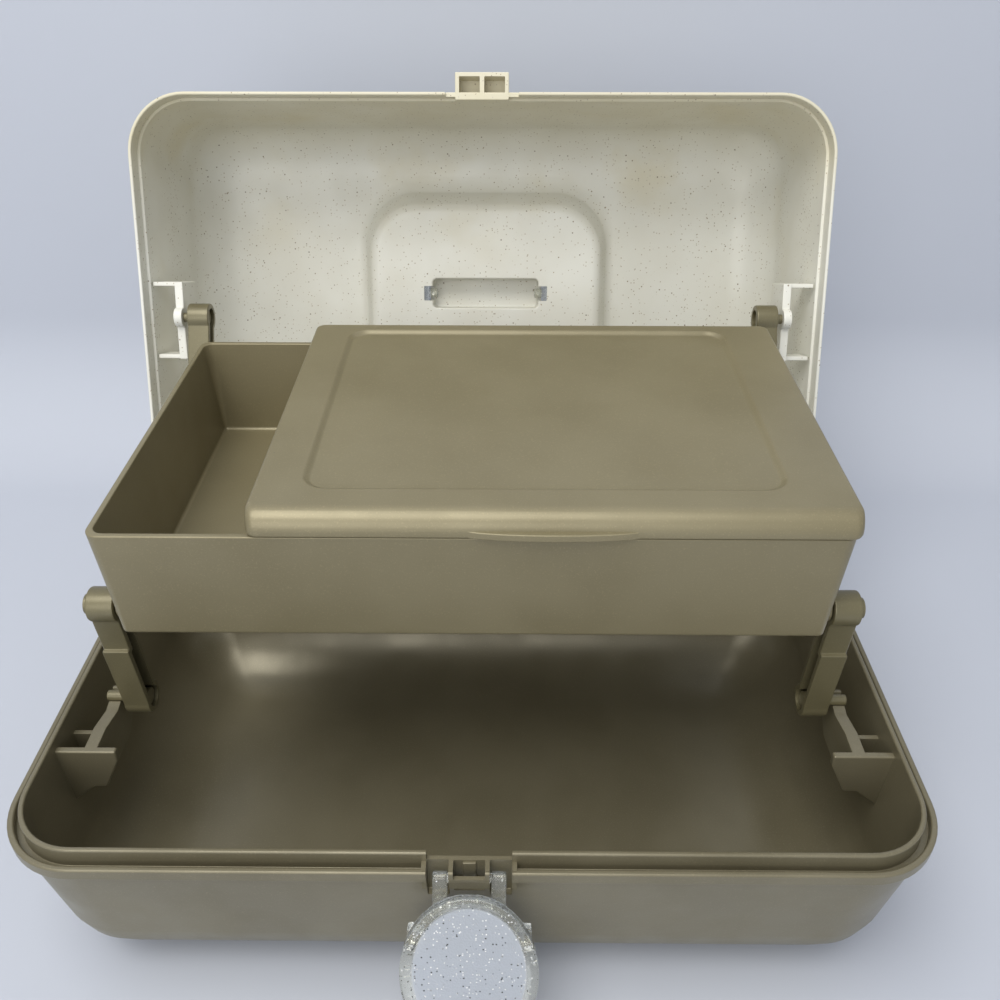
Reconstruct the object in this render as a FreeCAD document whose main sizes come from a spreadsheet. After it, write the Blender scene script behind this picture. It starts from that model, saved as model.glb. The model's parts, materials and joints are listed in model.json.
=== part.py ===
import FreeCAD, Part
import math
import os
import re
import Sketcher
from FreeCAD import Placement, Rotation, Vector

# Storage case with a hinged lid, a cantilever tray that rises with the lid, a folding
# handle sunk in the lid and a draw latch on the front.
# Frame: X to the right, Y to the back, Z up; origin on the floor under the base centre.
# The pieces lie as they do with the lid open. The lid is drawn closed and turned open.

SIZES = {
    # base
    "rim_width": 330, "rim_depth": 196, "base_height": 80, "rim_corner": 30,
    "rim_band": 5, "rim_wall": 2.3, "channel_gap": 2.4, "channel_deep": 3.6,
    "lip_wall": 1.9, "lip_rise": 4.3, "base_draft": 7, "base_inset": 1.5,
    "base_round": 38, "shell_wall": 2.2, "base_floor": 2.4, "inner_draft": 2.5,
    # lid
    "lid_height": 88, "lid_corner": 27.4, "lid_gap": 2.6, "lid_draft": 3,
    "lid_inner_draft": 2.5, "lid_round": 24, "skirt_wall": 1.5, "skirt_drop": 3.2,
    "ledge_gap": 0.3, "lid_ledge": 2.8, "open_angle": 111,
    "hinge_back": 5, "hinge_rise": 3, "hinge_radius": 3.2, "hinge_pin": 1.3, "hinge_place": 112,
    "hinge_long": 11.4, "hinge_cheek": 8, "hinge_play": 0.3,
    # handle and its recess
    "recess_half": 65, "recess_front": 58, "recess_back": 56, "recess_deep": 17.8,
    "recess_corner": 27, "recess_side_slope": 5.5, "recess_end_slope": 10,
    "block_half": 31, "block_front": 15, "block_back": 5, "block_high": 14,
    "handle_axis_y": -5, "handle_axis_drop": 11, "handle_pin": 2.5,
    "handle_reach": 44, "handle_thick": 8, "handle_wide": 9, "handle_outer": 53,
    "handle_foot": 4.8, "handle_play": 0.5,
    # front arms and their brackets
    "arm_inner": 130, "arm_outer": 140, "arm_head": 6.5, "arm_shank": 9, "arm_wall": 2.3,
    "arm_pin": 2.2, "pin_play": 0.08, "front_pivot_y": -18, "front_pivot_z": 79,
    "front_arm_long": 54, "front_arm_lean": 5.8,
    "plate_inner": 143, "plate_outer": 148, "plate_front": -48, "plate_low": 60,
    "rib_thick": 2.8, "rib_inner": 135.6, "mid_rib_y": -34, "mid_rib_drop": 5.7,
    # rear arms and the lid brackets
    "rear_pivot_along": 98, "rear_tray_y": 128.3, "rear_tray_z": -4, "rear_pin": 1.9,
    "lid_plate_near": 78, "lid_plate_far": 114.5, "lid_plate_outer": 147,
    "lid_plate_deep": 20, "rear_socket": 4.1, "rear_boss": 6.4,
    # tray
    "tray_top": 173.4, "tray_high": 46, "tray_front": -36.5, "tray_back": 113,
    "tray_half": 129, "tray_slope": 2.7, "tray_corner": 5, "tray_wall": 2.2,
    "tray_round": 2.2, "tray_inner_corner": 2.8, "tray_inner_round": 2.4,
    "boss_out": 129.7, "boss_deep": 9,
    "divider_x": -73.2, "divider_thick": 2, "divider_gap": 1.6,
    # tray cover
    "cover_left": -74.5, "cover_right": 129.8, "cover_rise": 9, "cover_gap": 0.4,
    "cover_wall": 2.2, "cover_corner": 3.2, "cover_bull": 7.5, "cover_axis_in": 3.5,
    "cover_axis_up": 4.3, "cover_pin": 1.25, "cover_back_gap": 1.9,
    "ear_thick": 3, "ear_play": 0.5, "ear_front": 2.8, "ear_back": 0.3,
    "panel_sink": 1, "panel_left": 17, "panel_right": 22, "panel_front": 17,
    "panel_back": 7, "panel_corner": 8, "pull_half": 31, "pull_out": 2.2, "pull_thick": 2.4,
    # latch
    "notch_half": 14.5, "keeper_half": 6.9, "keeper_slot": 5.4, "latch_pivot_y": 2.8,
    "latch_pivot_drop": 6, "latch_tilt": 25, "link_long": 21.1, "link_in": 7.5,
    "link_out": 12.5, "link_thick": 4, "link_pin": 1.6, "bar_near": 9.5, "bar_long": 3.5,
    "paddle_half": 23.75, "paddle_tall": 29, "paddle_centre": 12, "paddle_above": 11.5,
    "paddle_gap": 0.7, "paddle_thick": 2.2, "paddle_rim": 4, "paddle_bead": 1.2,
    "lug_in": 13.2, "lug_out": 21.2, "lug_half": 3.6, "paddle_pin": 1.3,
    "catch_half": 12.25, "catch_out": 9.2, "catch_high": 12, "catch_wall": 1.8,
}

doc = FreeCAD.newDocument("storage_case")
sheet = doc.addObject("Spreadsheet::Sheet", "Sizes")
for row, (alias, size) in enumerate(SIZES.items(), 1):
    sheet.set("A%d" % row, alias)
    sheet.set("B%d" % row, str(size))
    sheet.setAlias("B%d" % row, alias)
doc.recompute()

X_AXIS = Vector(1, 0, 0)
Z_AXIS = Vector(0, 0, 1)
nodes = []


def bound(text):
    """The expression with each sheet name led by the sheet's own name."""
    return re.sub(r"\b([a-z]+_[a-z_]+)\b", r"Sizes.\1", str(text))


def value(text):
    """The number that an expression gives now."""
    result = sheet.evalExpression(str(text))
    return float(getattr(result, "Value", result))


def bind(thing, path, text):
    thing.setExpression(path, bound(text))


def place(thing, x=0, y=0, z=0):
    for axis, text in zip("xyz", (x, y, z)):
        if text != 0:
            bind(thing, "Placement.Base." + axis, text)
    return thing


def box(name, x, y, z, wide, deep, high):
    """A box from its low corner and its three sizes."""
    thing = doc.addObject("Part::Box", name)
    for path, text in (("Length", wide), ("Width", deep), ("Height", high)):
        bind(thing, path, text)
    return place(thing, x, y, z)


def rod(name, x, y, z, radius, long):
    """A cylinder along X, starting at x."""
    thing = doc.addObject("Part::Cylinder", name)
    thing.Placement = Placement(Vector(), Rotation(Vector(0, 1, 0), 90))
    bind(thing, "Radius", radius)
    bind(thing, "Height", long)
    return place(thing, x, y, z)


def join(name, *things):
    thing = doc.addObject("Part::MultiFuse", name)
    thing.Shapes = list(things)
    return thing


def cut(name, base, *tools):
    thing = doc.addObject("Part::Cut", name)
    thing.Base = base
    thing.Tool = tools[0] if len(tools) == 1 else join(name + "_tools", *tools)
    return thing


def mirrored(name, source):
    """The same piece on the other side of the case."""
    thing = doc.addObject("Part::Mirroring", name)
    thing.Source = source
    thing.Normal = X_AXIS
    return thing


def node(label, thing):
    thing.Label = label
    nodes.append(thing)
    return thing


def body_of(name):
    return doc.addObject("PartDesign::Body", name)


def sketch_on(body, role, name, offset=0):
    """A sketch on one of the body's own planes, moved along its normal."""
    sketch = body.newObject("Sketcher::SketchObject", name)
    plane = next(f for f in body.Origin.OriginFeatures if f.Role == role)
    sketch.AttachmentSupport = [(plane, "")]
    sketch.MapMode = "FlatFace"
    if offset != 0:
        bind(sketch, "AttachmentOffset.Base.z", offset)
    return sketch


def pin_point(sketch, index, end, u, v):
    """Holds one end of a sketch line at two bound distances from the origin."""
    for kind, text in (("DistanceX", u), ("DistanceY", v)):
        number = sketch.addConstraint(
            Sketcher.Constraint(kind, -1, 1, index, end, value(text)))
        bind(sketch, "Constraints[%d]" % number, text)


def outline(sketch, corners):
    """A closed straight-sided outline through bound corners."""
    spots = [Vector(value(u), value(v), 0) for u, v in corners]
    first = sketch.GeometryCount
    count = len(spots)
    for i, spot in enumerate(spots):
        sketch.addGeometry(Part.LineSegment(spot, spots[(i + 1) % count]))
    for i, (u, v) in enumerate(corners):
        sketch.addConstraint(
            Sketcher.Constraint("Coincident", first + i, 2, first + (i + 1) % count, 1))
        pin_point(sketch, first + i, 1, u, v)


def rounded(sketch, left, right, front, back, corner):
    """A closed rectangle with round corners, all sizes bound."""
    x0, x1, y0, y1, r = (value(t) for t in (left, right, front, back, corner))
    first = sketch.GeometryCount
    ends = [
        ((x0 + r, y0), (x1 - r, y0), (left, corner, front, 0), (right, corner, front, 0)),
        ((x1, y0 + r), (x1, y1 - r), None, None),
        ((x1 - r, y1), (x0 + r, y1), None, None),
        ((x0, y1 - r), (x0, y0 + r), None, None),
    ]
    for start, end, _, _ in ends:
        sketch.addGeometry(Part.LineSegment(Vector(*start, 0), Vector(*end, 0)))
    centres = [(x1 - r, y0 + r, -90), (x1 - r, y1 - r, 0), (x0 + r, y1 - r, 90), (x0 + r, y0 + r, 180)]
    for cx, cy, turn in centres:
        circle = Part.Circle(Vector(cx, cy, 0), Z_AXIS, r)
        sketch.addGeometry(Part.ArcOfCircle(circle, math.radians(turn), math.radians(turn + 90)))
    for i in range(4):
        sketch.addConstraint(Sketcher.Constraint("Tangent", first + i, 2, first + 4 + i, 1))
        sketch.addConstraint(
            Sketcher.Constraint("Tangent", first + 4 + i, 2, first + (i + 1) % 4, 1))
    for i, kind in enumerate(("Horizontal", "Vertical", "Horizontal", "Vertical")):
        sketch.addConstraint(Sketcher.Constraint(kind, first + i))
    for i in range(3):
        sketch.addConstraint(Sketcher.Constraint("Equal", first + 4 + i, first + 5 + i))
    number = sketch.addConstraint(Sketcher.Constraint("Radius", first + 4, r))
    bind(sketch, "Constraints[%d]" % number, corner)
    for index, end, kind, text in ((3, 1, "DistanceX", left), (1, 1, "DistanceX", right),
                                   (0, 1, "DistanceY", front), (2, 1, "DistanceY", back)):
        number = sketch.addConstraint(
            Sketcher.Constraint(kind, -1, 1, first + index, end, value(text)))
        bind(sketch, "Constraints[%d]" % number, text)


def pad(body, sketch, long, backwards=False, both=False):
    feature = body.newObject("PartDesign::Pad", sketch.Name + "_pad")
    feature.Profile = sketch
    bind(feature, "Length", long)
    feature.Reversed = backwards
    feature.Midplane = both
    return feature


def slab(name, z, high, left, right, front, back, corner):
    """A flat block with round upright corners."""
    body = body_of(name)
    sketch = sketch_on(body, "XY_Plane", name + "_outline", z)
    rounded(sketch, left, right, front, back, corner)
    pad(body, sketch, high)
    return body


def profile(name, role, start, long, corners):
    """A straight-sided outline on an upright plane, made long along the plane's normal."""
    body = body_of(name)
    sketch = sketch_on(body, role, name + "_outline", start)
    outline(sketch, corners)
    pad(body, sketch, long)
    return body


def tub(name, levels):
    """A bowl through round-cornered levels of z, half sizes and corner radius.

    The wall runs straight between the first two levels, and the rest roll on smoothly.
    """
    body = body_of(name)
    sketches = []
    for i, (z, half_x, half_y, corner) in enumerate(levels):
        sketch = sketch_on(body, "XY_Plane", "%s_level%d" % (name, i), z)
        rounded(sketch, "-(%s)" % half_x, half_x, "-(%s)" % half_y, half_y, corner)
        sketches.append(sketch)
    for tag, chosen in (("wall", sketches[:2]), ("roll", sketches[1:])):
        loft = body.newObject("PartDesign::AdditiveLoft", "%s_%s" % (name, tag))
        loft.Profile = chosen[0]
        loft.Sections = chosen[1:]
    return body


def bowl_levels(half_x, half_y, corner, top, bottom, draft, radius, up):
    """Levels of a bowl: straight drafted walls that roll into a flat by one radius.

    up is 1 where the flat is below the rim (a base) and -1 where it is above (a lid).
    """
    slope = "tan((%s) * 1 deg)" % draft
    start = "(%s + %s * (%s) * (1 - sin((%s) * 1 deg)))" % (bottom, up, radius, draft)
    inset = "(abs(%s - %s) * %s)" % (top, start, slope)
    levels = []
    for share in (0, 1):
        move = "(%s * %s)" % (share, inset)
        z = "%s + %s * (%s - %s)" % (top, share, start, top)
        levels.append((z, "%s - %s" % (half_x, move), "%s - %s" % (half_y, move),
                       "%s - 0.5 * %s" % (corner, move)))
    for step in (0.2, 0.4, 0.6, 0.8, 1):
        angle = "((%s + %s * (90 - %s)) * 1 deg)" % (draft, step, draft)
        roll = "(%s * (cos((%s) * 1 deg) - cos(%s)))" % (radius, draft, angle)
        z = "%s + %s * %s * (1 - sin(%s))" % (bottom, up, radius, angle)
        levels.append((z, "%s - %s - %s" % (half_x, inset, roll),
                       "%s - %s - %s" % (half_y, inset, roll),
                       "%s - 0.5 * (%s + %s)" % (corner, inset, roll)))
    return levels


# ---------------------------------------------------------------- places worked out once
RIM_FRONT = "(-rim_depth / 2)"
LIP_TOP = "(base_height + lip_rise)"
LIP_HALF_X = "(rim_width / 2 - rim_wall - channel_gap)"
LIP_HALF_Y = "(rim_depth / 2 - rim_wall - channel_gap)"
LIP_CORNER = "(rim_corner - rim_wall - channel_gap)"
HINGE_Y = "(rim_depth / 2 + hinge_back)"
HINGE_Z = "(base_height + hinge_rise)"


def inside_of_lip(text):
    return "(%s - lip_wall)" % text


# ---------------------------------------------------------------- base
def make_base():
    bowl = tub("base_bowl", bowl_levels(
        "(rim_width / 2 - base_inset)", "(rim_depth / 2 - base_inset)", "rim_corner",
        "(base_height - rim_band)", "0", "base_draft", "base_round", 1))
    rim = slab("base_rim", "base_height - rim_band", "rim_band", "-rim_width / 2",
               "rim_width / 2", RIM_FRONT, "rim_depth / 2", "rim_corner")
    lip = slab("base_lip", "base_height - rim_band", "rim_band + lip_rise", "-" + LIP_HALF_X,
               LIP_HALF_X, "-" + LIP_HALF_Y, LIP_HALF_Y, LIP_CORNER)
    groove_out = slab("groove_out", "base_height - channel_deep", "channel_deep + 1",
                      "-(rim_width / 2 - rim_wall)", "rim_width / 2 - rim_wall",
                      "-(rim_depth / 2 - rim_wall)", "rim_depth / 2 - rim_wall",
                      "rim_corner - rim_wall")
    groove_in = slab("groove_in", "base_height - channel_deep - 1", "channel_deep + 3",
                     "-" + LIP_HALF_X, LIP_HALF_X, "-" + LIP_HALF_Y, LIP_HALF_Y, LIP_CORNER)
    groove = cut("groove", groove_out, groove_in)
    room = tub("base_room", bowl_levels(
        inside_of_lip(LIP_HALF_X), inside_of_lip(LIP_HALF_Y), inside_of_lip(LIP_CORNER),
        LIP_TOP, "base_floor", "inner_draft", "(base_round - shell_wall)", 1))
    cap = slab("base_room_cap", LIP_TOP, "5", "-" + inside_of_lip(LIP_HALF_X),
               inside_of_lip(LIP_HALF_X), "-" + inside_of_lip(LIP_HALF_Y),
               inside_of_lip(LIP_HALF_Y), inside_of_lip(LIP_CORNER))
    solid = join("base_solid", bowl, rim)
    ring = cut("base_ring", solid, groove, room)
    lip_ring = cut("lip_ring", lip, room, cap)
    return join("base_plain", ring, lip_ring)


def make_bracket():
    """Carries the lower pin of a front arm, on the right wall inside the base."""
    slot = "(arm_pin + pin_play)"
    pivot_y = "front_pivot_y"
    plate = profile("bracket_plate", "YZ_Plane", "plate_inner", "plate_outer - plate_inner", [
        ("plate_front", "base_height"),
        ("plate_front + 12", "base_height"),
        (pivot_y + " - 6", "front_pivot_z - 2.2"),
        (pivot_y + " - %s" % slot, "front_pivot_z - 2.2"),
        (pivot_y + " + %s" % slot, "front_pivot_z + 1.4"),
        (pivot_y + " + 5.2", "front_pivot_z + 1.4"),
        (pivot_y + " + 5.2", "plate_low + 6"),
        (pivot_y + " - 2", "plate_low"),
        ("plate_front", "plate_low"),
    ])
    wall = "(rim_width / 2 - 5.2)"
    front_rib = profile("bracket_rib", "XZ_Plane", "-(plate_front + rib_thick - 2.8)",
                        "rib_thick", [
        ("rib_inner", "base_height"),
        (wall, "base_height"),
        (wall, "plate_low - 10"),
        ("plate_outer", "plate_low"),
        ("plate_inner", "plate_low"),
        ("rib_inner", "base_height - 5"),
    ])
    mid_rib = box("bracket_mid_rib", "plate_outer - 1", "mid_rib_y", "plate_low",
                  wall + " - plate_outer + 1", "2", "base_height - mid_rib_drop - plate_low")
    slot_round = rod("bracket_slot", "plate_inner - 1", pivot_y, "front_pivot_z", slot, "8")
    slot_open = box("bracket_slot_open", "plate_inner - 1", pivot_y + " - %s" % slot,
                    "front_pivot_z", "8", "2 * %s" % slot, "6")
    return cut("bracket_right", join("bracket_solid", plate, front_rib, mid_rib),
               slot_round, slot_open)


def make_hinge_lugs():
    """Two cheeks that hold the pin of the right hinge behind the rim."""
    lugs = []
    for tag, start in (("in", "hinge_place - hinge_long / 2 - hinge_play - hinge_cheek"),
                       ("out", "hinge_place + hinge_long / 2 + hinge_play")):
        eye = rod("lug_eye_" + tag, start, HINGE_Y, HINGE_Z, "hinge_radius", "hinge_cheek")
        web = profile("lug_web_" + tag, "YZ_Plane", start, "hinge_cheek", [
            (HINGE_Y + " - hinge_back - 2.2", "base_height - 2"),
            (HINGE_Y + " - hinge_back - 2.2", "base_height - 16"),
            (HINGE_Y + " - hinge_back - 1", "base_height - 16"),
            (HINGE_Y + " + hinge_radius", "base_height - 4"),
            (HINGE_Y + " + hinge_radius", HINGE_Z),
            (HINGE_Y + " - hinge_radius", HINGE_Z),
            (HINGE_Y + " - hinge_back", "base_height"),
        ])
        lugs += [eye, web]
    return join("hinge_lugs_right", *lugs)


def make_base_shell():
    plain = make_base()
    bracket = make_bracket()
    lugs = make_hinge_lugs()
    whole = join("base_whole", plain, bracket, mirrored("bracket_left", bracket),
                 lugs, mirrored("hinge_lugs_left", lugs))
    half_gap = "(hinge_long / 2 + hinge_play)"
    knuckle = box("knuckle_room", "hinge_place - " + half_gap, "rim_depth / 2 - rim_wall - 0.2",
                  "base_height - 1", "2 * " + half_gap, "12", "9")
    bore = rod("hinge_bore", "hinge_place - 20", HINGE_Y, HINGE_Z, "hinge_pin", "40")
    notch = box("latch_notch", "-notch_half", RIM_FRONT + " - 1", "base_height + 1.5",
                "2 * notch_half", "8.4", "5")
    arm_room = box("latch_arm_room", "keeper_half", RIM_FRONT + " - 1", "base_height - 16",
                   "notch_half - keeper_half", "6.4", "22")
    keeper = box("keeper_pocket", "-keeper_slot", RIM_FRONT + " + 1.3", "base_height - 13",
                 "2 * keeper_slot", "3.9", "20")
    band = box("keeper_band", "-keeper_half", RIM_FRONT + " - 1", "base_height - 11",
               "2 * keeper_half", "2.2", "5.5")
    pin_hole = rod("latch_pin_hole", "-8", RIM_FRONT + " + latch_pivot_y",
                   "base_height - latch_pivot_drop", "link_pin + pin_play", "16")
    return node("base_shell", cut("base_shell", whole, knuckle, mirrored("knuckle_room_left", knuckle),
                                  bore, mirrored("hinge_bore_left", bore), notch, arm_room,
                                  mirrored("latch_arm_room_left", arm_room), keeper, band, pin_hole))


# ---------------------------------------------------------------- lid, drawn closed
LID_HALF_X = "(rim_width / 2 - lid_gap)"
LID_HALF_Y = "(rim_depth / 2 - lid_gap)"
LID_LOW = "(base_height - skirt_drop)"
LID_TOP = "(base_height + lid_height)"
LEDGE_Z = "(%s + ledge_gap)" % LIP_TOP


def recess_levels(name, grow, low, high):
    """The handle recess as a solid: wide at the panel, narrower at its floor."""
    body = body_of(name)
    wide = sketch_on(body, "XY_Plane", name + "_wide", high)
    rounded(wide, "-(recess_half + %s)" % grow, "recess_half + %s" % grow,
            "-(recess_front + %s)" % grow, "recess_back + %s" % grow, "recess_corner + %s" % grow)
    deep = sketch_on(body, "XY_Plane", name + "_deep", low)
    side = "(recess_half - recess_side_slope + %s)" % grow
    rounded(deep, "-" + side, side, "-(recess_front - recess_end_slope + %s)" % grow,
            "recess_back - recess_end_slope + %s" % grow, "recess_corner - 4 + %s" % grow)
    loft = body.newObject("PartDesign::AdditiveLoft", name + "_loft")
    loft.Profile = wide
    loft.Sections = [deep]
    return body


def make_lid_bracket():
    """Carries the upper pin of a rear arm, on the right wall inside the lid."""
    near = "(%s - lid_plate_near)" % HINGE_Y
    far = "(%s - lid_plate_far)" % HINGE_Y
    pivot = "(%s - rear_pivot_along)" % HINGE_Y
    low = "(base_height + 0.3)"
    wall = "(rim_width / 2 - 6)"
    plate = box("lid_plate", "plate_inner", far, low, "lid_plate_outer - plate_inner",
                near + " - " + far, "lid_plate_deep")
    eye = rod("lid_eye", "plate_inner", pivot, "base_height", "4.6",
              "lid_plate_outer - plate_inner")
    ribs = []
    for tag, start in (("near", near + " - 2"), ("far", far)):
        ribs.append(box("lid_rib_" + tag, "lid_plate_outer - 1", start, LEDGE_Z,
                        wall + " - lid_plate_outer + 1", "2", "lid_plate_deep - 4.6"))
    solid = join("lid_bracket_solid", plate, eye, *ribs)
    hole = rod("lid_eye_hole", "plate_inner - 1", pivot, "base_height", "arm_pin + pin_play", "8")
    return cut("lid_bracket_right", solid, hole)


def make_lid_knuckle():
    """The middle knuckle of the right hinge, on the rear wall of the lid."""
    start = "(hinge_place - hinge_long / 2)"
    eye = rod("knuckle_eye", start, HINGE_Y, HINGE_Z, "hinge_radius", "hinge_long")
    wall = "(rim_depth / 2 - lid_gap)"
    web = profile("knuckle_web", "YZ_Plane", start, "hinge_long", [
        (wall + " - 1.4", "base_height + 1"),
        (wall + " + 0.6", "base_height + 0.6"),
        (HINGE_Y + " - 1", HINGE_Z + " - hinge_radius + 0.1"),
        (HINGE_Y + " + hinge_radius", HINGE_Z),
        (HINGE_Y + " + 1", HINGE_Z + " + hinge_radius"),
        (wall + " + 0.4", "base_height + 15"),
        (wall + " - 1.4", "base_height + 15"),
    ])
    return join("knuckle_right", eye, web)


def make_lid_shell():
    outer = tub("lid_outer", bowl_levels(
        LID_HALF_X, LID_HALF_Y, "lid_corner", LEDGE_Z, LID_TOP, "lid_draft", "lid_round", -1))
    skirt = slab("lid_skirt", LID_LOW, LEDGE_Z + " - " + LID_LOW, "-" + LID_HALF_X, LID_HALF_X,
                 "-" + LID_HALF_Y, LID_HALF_Y, "lid_corner")
    skirt_x = "(%s - skirt_wall)" % LID_HALF_X
    skirt_y = "(%s - skirt_wall)" % LID_HALF_Y
    skirt_room = slab("lid_skirt_room", LID_LOW + " - 1", LEDGE_Z + " - " + LID_LOW + " + 1",
                      "-" + skirt_x, skirt_x, "-" + skirt_y, skirt_y, "lid_corner - skirt_wall")
    back_trim = box("skirt_back_trim", "-rim_width / 2", "rim_depth / 2 - 13", LID_LOW + " - 1",
                    "rim_width", "14", "skirt_drop + 1.4")
    room = tub("lid_room", bowl_levels(
        "(%s - lid_ledge)" % LID_HALF_X, "(%s - lid_ledge)" % LID_HALF_Y,
        "(lid_corner - lid_ledge)", "(%s - 1)" % LEDGE_Z, "(%s - shell_wall)" % LID_TOP,
        "lid_inner_draft", "(lid_round - shell_wall)", -1))
    floor_z = "(%s - recess_deep)" % LID_TOP
    bulge = recess_levels("recess_bulge", "shell_wall", floor_z + " - shell_wall", LID_TOP + " - 1")
    recess = recess_levels("recess_cut", "0", floor_z, LID_TOP + " + 0.01")
    block = slab("block_outer", floor_z + " - shell_wall", "block_high + shell_wall",
                 "-block_half", "block_half", "-block_front", "block_back", "3")
    block_room = slab("block_room", floor_z + " - shell_wall - 1", "block_high + 1",
                      "-(block_half - shell_wall)", "block_half - shell_wall",
                      "-(block_front - shell_wall)", "block_back - shell_wall", "2")
    catch = box("catch_box", "-catch_half", RIM_FRONT + " - catch_out + lid_gap", "base_height + 0.6",
                "2 * catch_half", "catch_out + 2", "catch_high")
    pocket = box("catch_pocket", "1", RIM_FRONT + " - catch_out + lid_gap + catch_wall",
                 "base_height", "catch_half - catch_wall - 1", "catch_out - catch_wall - 0.6",
                 "catch_high - catch_wall")
    bracket = make_lid_bracket()
    knuckle = make_lid_knuckle()
    shell = cut("lid_hollow", join("lid_full", outer, skirt), room, skirt_room, back_trim)
    carved = cut("lid_carved", join("lid_bulged", shell, bulge), recess)
    whole = join("lid_whole", carved, block, catch, bracket, mirrored("lid_bracket_left", bracket),
                 knuckle, mirrored("knuckle_left", knuckle))
    bore = rod("knuckle_bore", "hinge_place - 20", HINGE_Y, HINGE_Z, "hinge_pin + pin_play", "40")
    handle_bore = rod("handle_bore", "-block_half - 1", "handle_axis_y",
                      LID_TOP + " - handle_axis_drop", "handle_pin + pin_play", "2 * block_half + 2")
    closed = cut("lid_closed", whole, block_room, pocket, mirrored("catch_pocket_left", pocket),
                 bore, mirrored("knuckle_bore_left", bore), handle_bore)
    return closed


def opened(name, closed):
    """A lid piece, drawn closed, turned open about the hinge axis."""
    thing = doc.addObject("Part::Feature", name)
    turned = closed.Shape.copy()
    turned.rotate(Vector(0, value(HINGE_Y), value(HINGE_Z)), X_AXIS, -value("open_angle"))
    thing.Shape = turned
    return thing


# ---------------------------------------------------------------- handle, drawn folded
def make_handle():
    axis_z = "(%s - handle_axis_drop)" % LID_TOP
    low = "(%s - handle_thick / 2)" % axis_z
    front = "(handle_axis_y - handle_reach)"
    back = "(handle_axis_y + handle_foot)"
    loop = slab("handle_loop", low, "handle_thick", "-handle_outer", "handle_outer",
                front, back, "18")
    inner = slab("handle_inside", low + " - 1", "handle_thick + 2",
                 "-(handle_outer - handle_wide)", "handle_outer - handle_wide",
                 front + " + handle_wide", back + " + 40", "10")
    foot_in = "(block_half + handle_play)"
    foot = box("handle_foot_bar", foot_in, "handle_axis_y - handle_foot", low,
               "handle_outer - 4 - %s" % foot_in, "2 * handle_foot", "handle_thick")
    pin = rod("handle_stub", "block_half - shell_wall - 2", "handle_axis_y", axis_z,
              "handle_pin", "handle_play + shell_wall + 4")
    return join("handle_folded", cut("handle_bow", loop, inner), foot,
                mirrored("handle_foot_bar_left", foot), pin, mirrored("handle_stub_left", pin))


# ---------------------------------------------------------------- arms
def arm(name, long, pin_radius, stub, hole):
    """A channel-section arm along Z from its low pivot, open towards the tray.

    stub: x start, z and length of the pin moulded on it; hole: z of the plain eye.
    """
    wide = "(arm_outer - arm_inner)"
    low_head = rod(name + "_low_head", "arm_inner", 0, 0, "arm_head", wide)
    top_head = rod(name + "_top_head", "arm_inner", 0, long, "arm_head", wide)
    shank = box(name + "_shank", "arm_inner", "-arm_shank / 2", 0, wide, "arm_shank", long)
    channel = box(name + "_channel", "arm_inner - 1", "-(arm_shank / 2 - arm_wall)", "arm_head",
                  wide + " - arm_wall + 1", "arm_shank - 2 * arm_wall",
                  "%s - 2 * arm_head" % long)
    eye = rod(name + "_eye", "arm_inner - 1", 0, hole, pin_radius + " + pin_play", "20")
    solid = cut(name + "_solid", join(name + "_outer", low_head, top_head, shank), channel, eye)
    pins = [rod(name + "_pin%d" % i, x, 0, z, radius, length)
            for i, (x, z, radius, length) in enumerate(stub)]
    return join(name, solid, *pins)


def set_arm(thing, y, z, turn):
    """Stands an arm on its low pivot, turned about X."""
    thing.Placement = Placement(Vector(0, value(y), value(z)), Rotation(X_AXIS, turn))
    bind(thing, "Placement.Base.y", y)
    bind(thing, "Placement.Base.z", z)
    return thing


FRONT_TOP_Y = "(front_pivot_y - front_arm_long * sin(front_arm_lean * 1 deg))"
FRONT_TOP_Z = "(front_pivot_z + front_arm_long * cos(front_arm_lean * 1 deg))"
REAR_TRAY_Y = "(%s + rear_tray_y)" % FRONT_TOP_Y
REAR_TRAY_Z = "(%s + rear_tray_z)" % FRONT_TOP_Z
OPEN_SIN = "sin((open_angle - 90) * 1 deg)"
OPEN_COS = "cos((open_angle - 90) * 1 deg)"
REAR_LID_Y = "(%s + rear_pivot_along * %s - hinge_rise * %s)" % (HINGE_Y, OPEN_SIN, OPEN_COS)
REAR_LID_Z = "(%s + rear_pivot_along * %s + hinge_rise * %s)" % (HINGE_Z, OPEN_COS, OPEN_SIN)


def make_arms():
    front = arm("front_arm_right", "front_arm_long", "rear_pin",
                [("arm_outer - arm_wall", 0, "arm_pin", "plate_outer + 0.6 - arm_outer + arm_wall")],
                "front_arm_long")
    node("front_arm_right", set_arm(front, "front_pivot_y", "front_pivot_z", value("front_arm_lean")))
    node("front_arm_left", mirrored("front_arm_left", front))
    rise = value(REAR_LID_Z) - value(REAR_TRAY_Z)
    run = value(REAR_LID_Y) - value(REAR_TRAY_Y)
    long = "sqrt((%s - %s) ^ 2 + (%s - %s) ^ 2)" % (REAR_LID_Y, REAR_TRAY_Y, REAR_LID_Z, REAR_TRAY_Z)
    rear = arm("rear_arm_right", long, "arm_pin", [
        ("boss_out - 6", 0, "rear_pin", "arm_outer - boss_out + 5"),
        ("arm_outer - arm_wall", long, "arm_pin", "lid_plate_outer + 0.6 - arm_outer + arm_wall"),
    ], "-40")
    turn = -math.degrees(math.atan2(run, rise))
    node("rear_arm_right", set_arm(rear, REAR_TRAY_Y, REAR_TRAY_Z, turn))
    node("rear_arm_left", mirrored("rear_arm_left", rear))


# ---------------------------------------------------------------- tray
AXIS_Y = "(tray_back - cover_axis_in)"
AXIS_Z = "(tray_top + cover_axis_up)"
EARS = (("left", "cover_left + cover_wall + 0.4"),
        ("right", "cover_right - cover_wall - 1 - ear_thick"))


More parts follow.
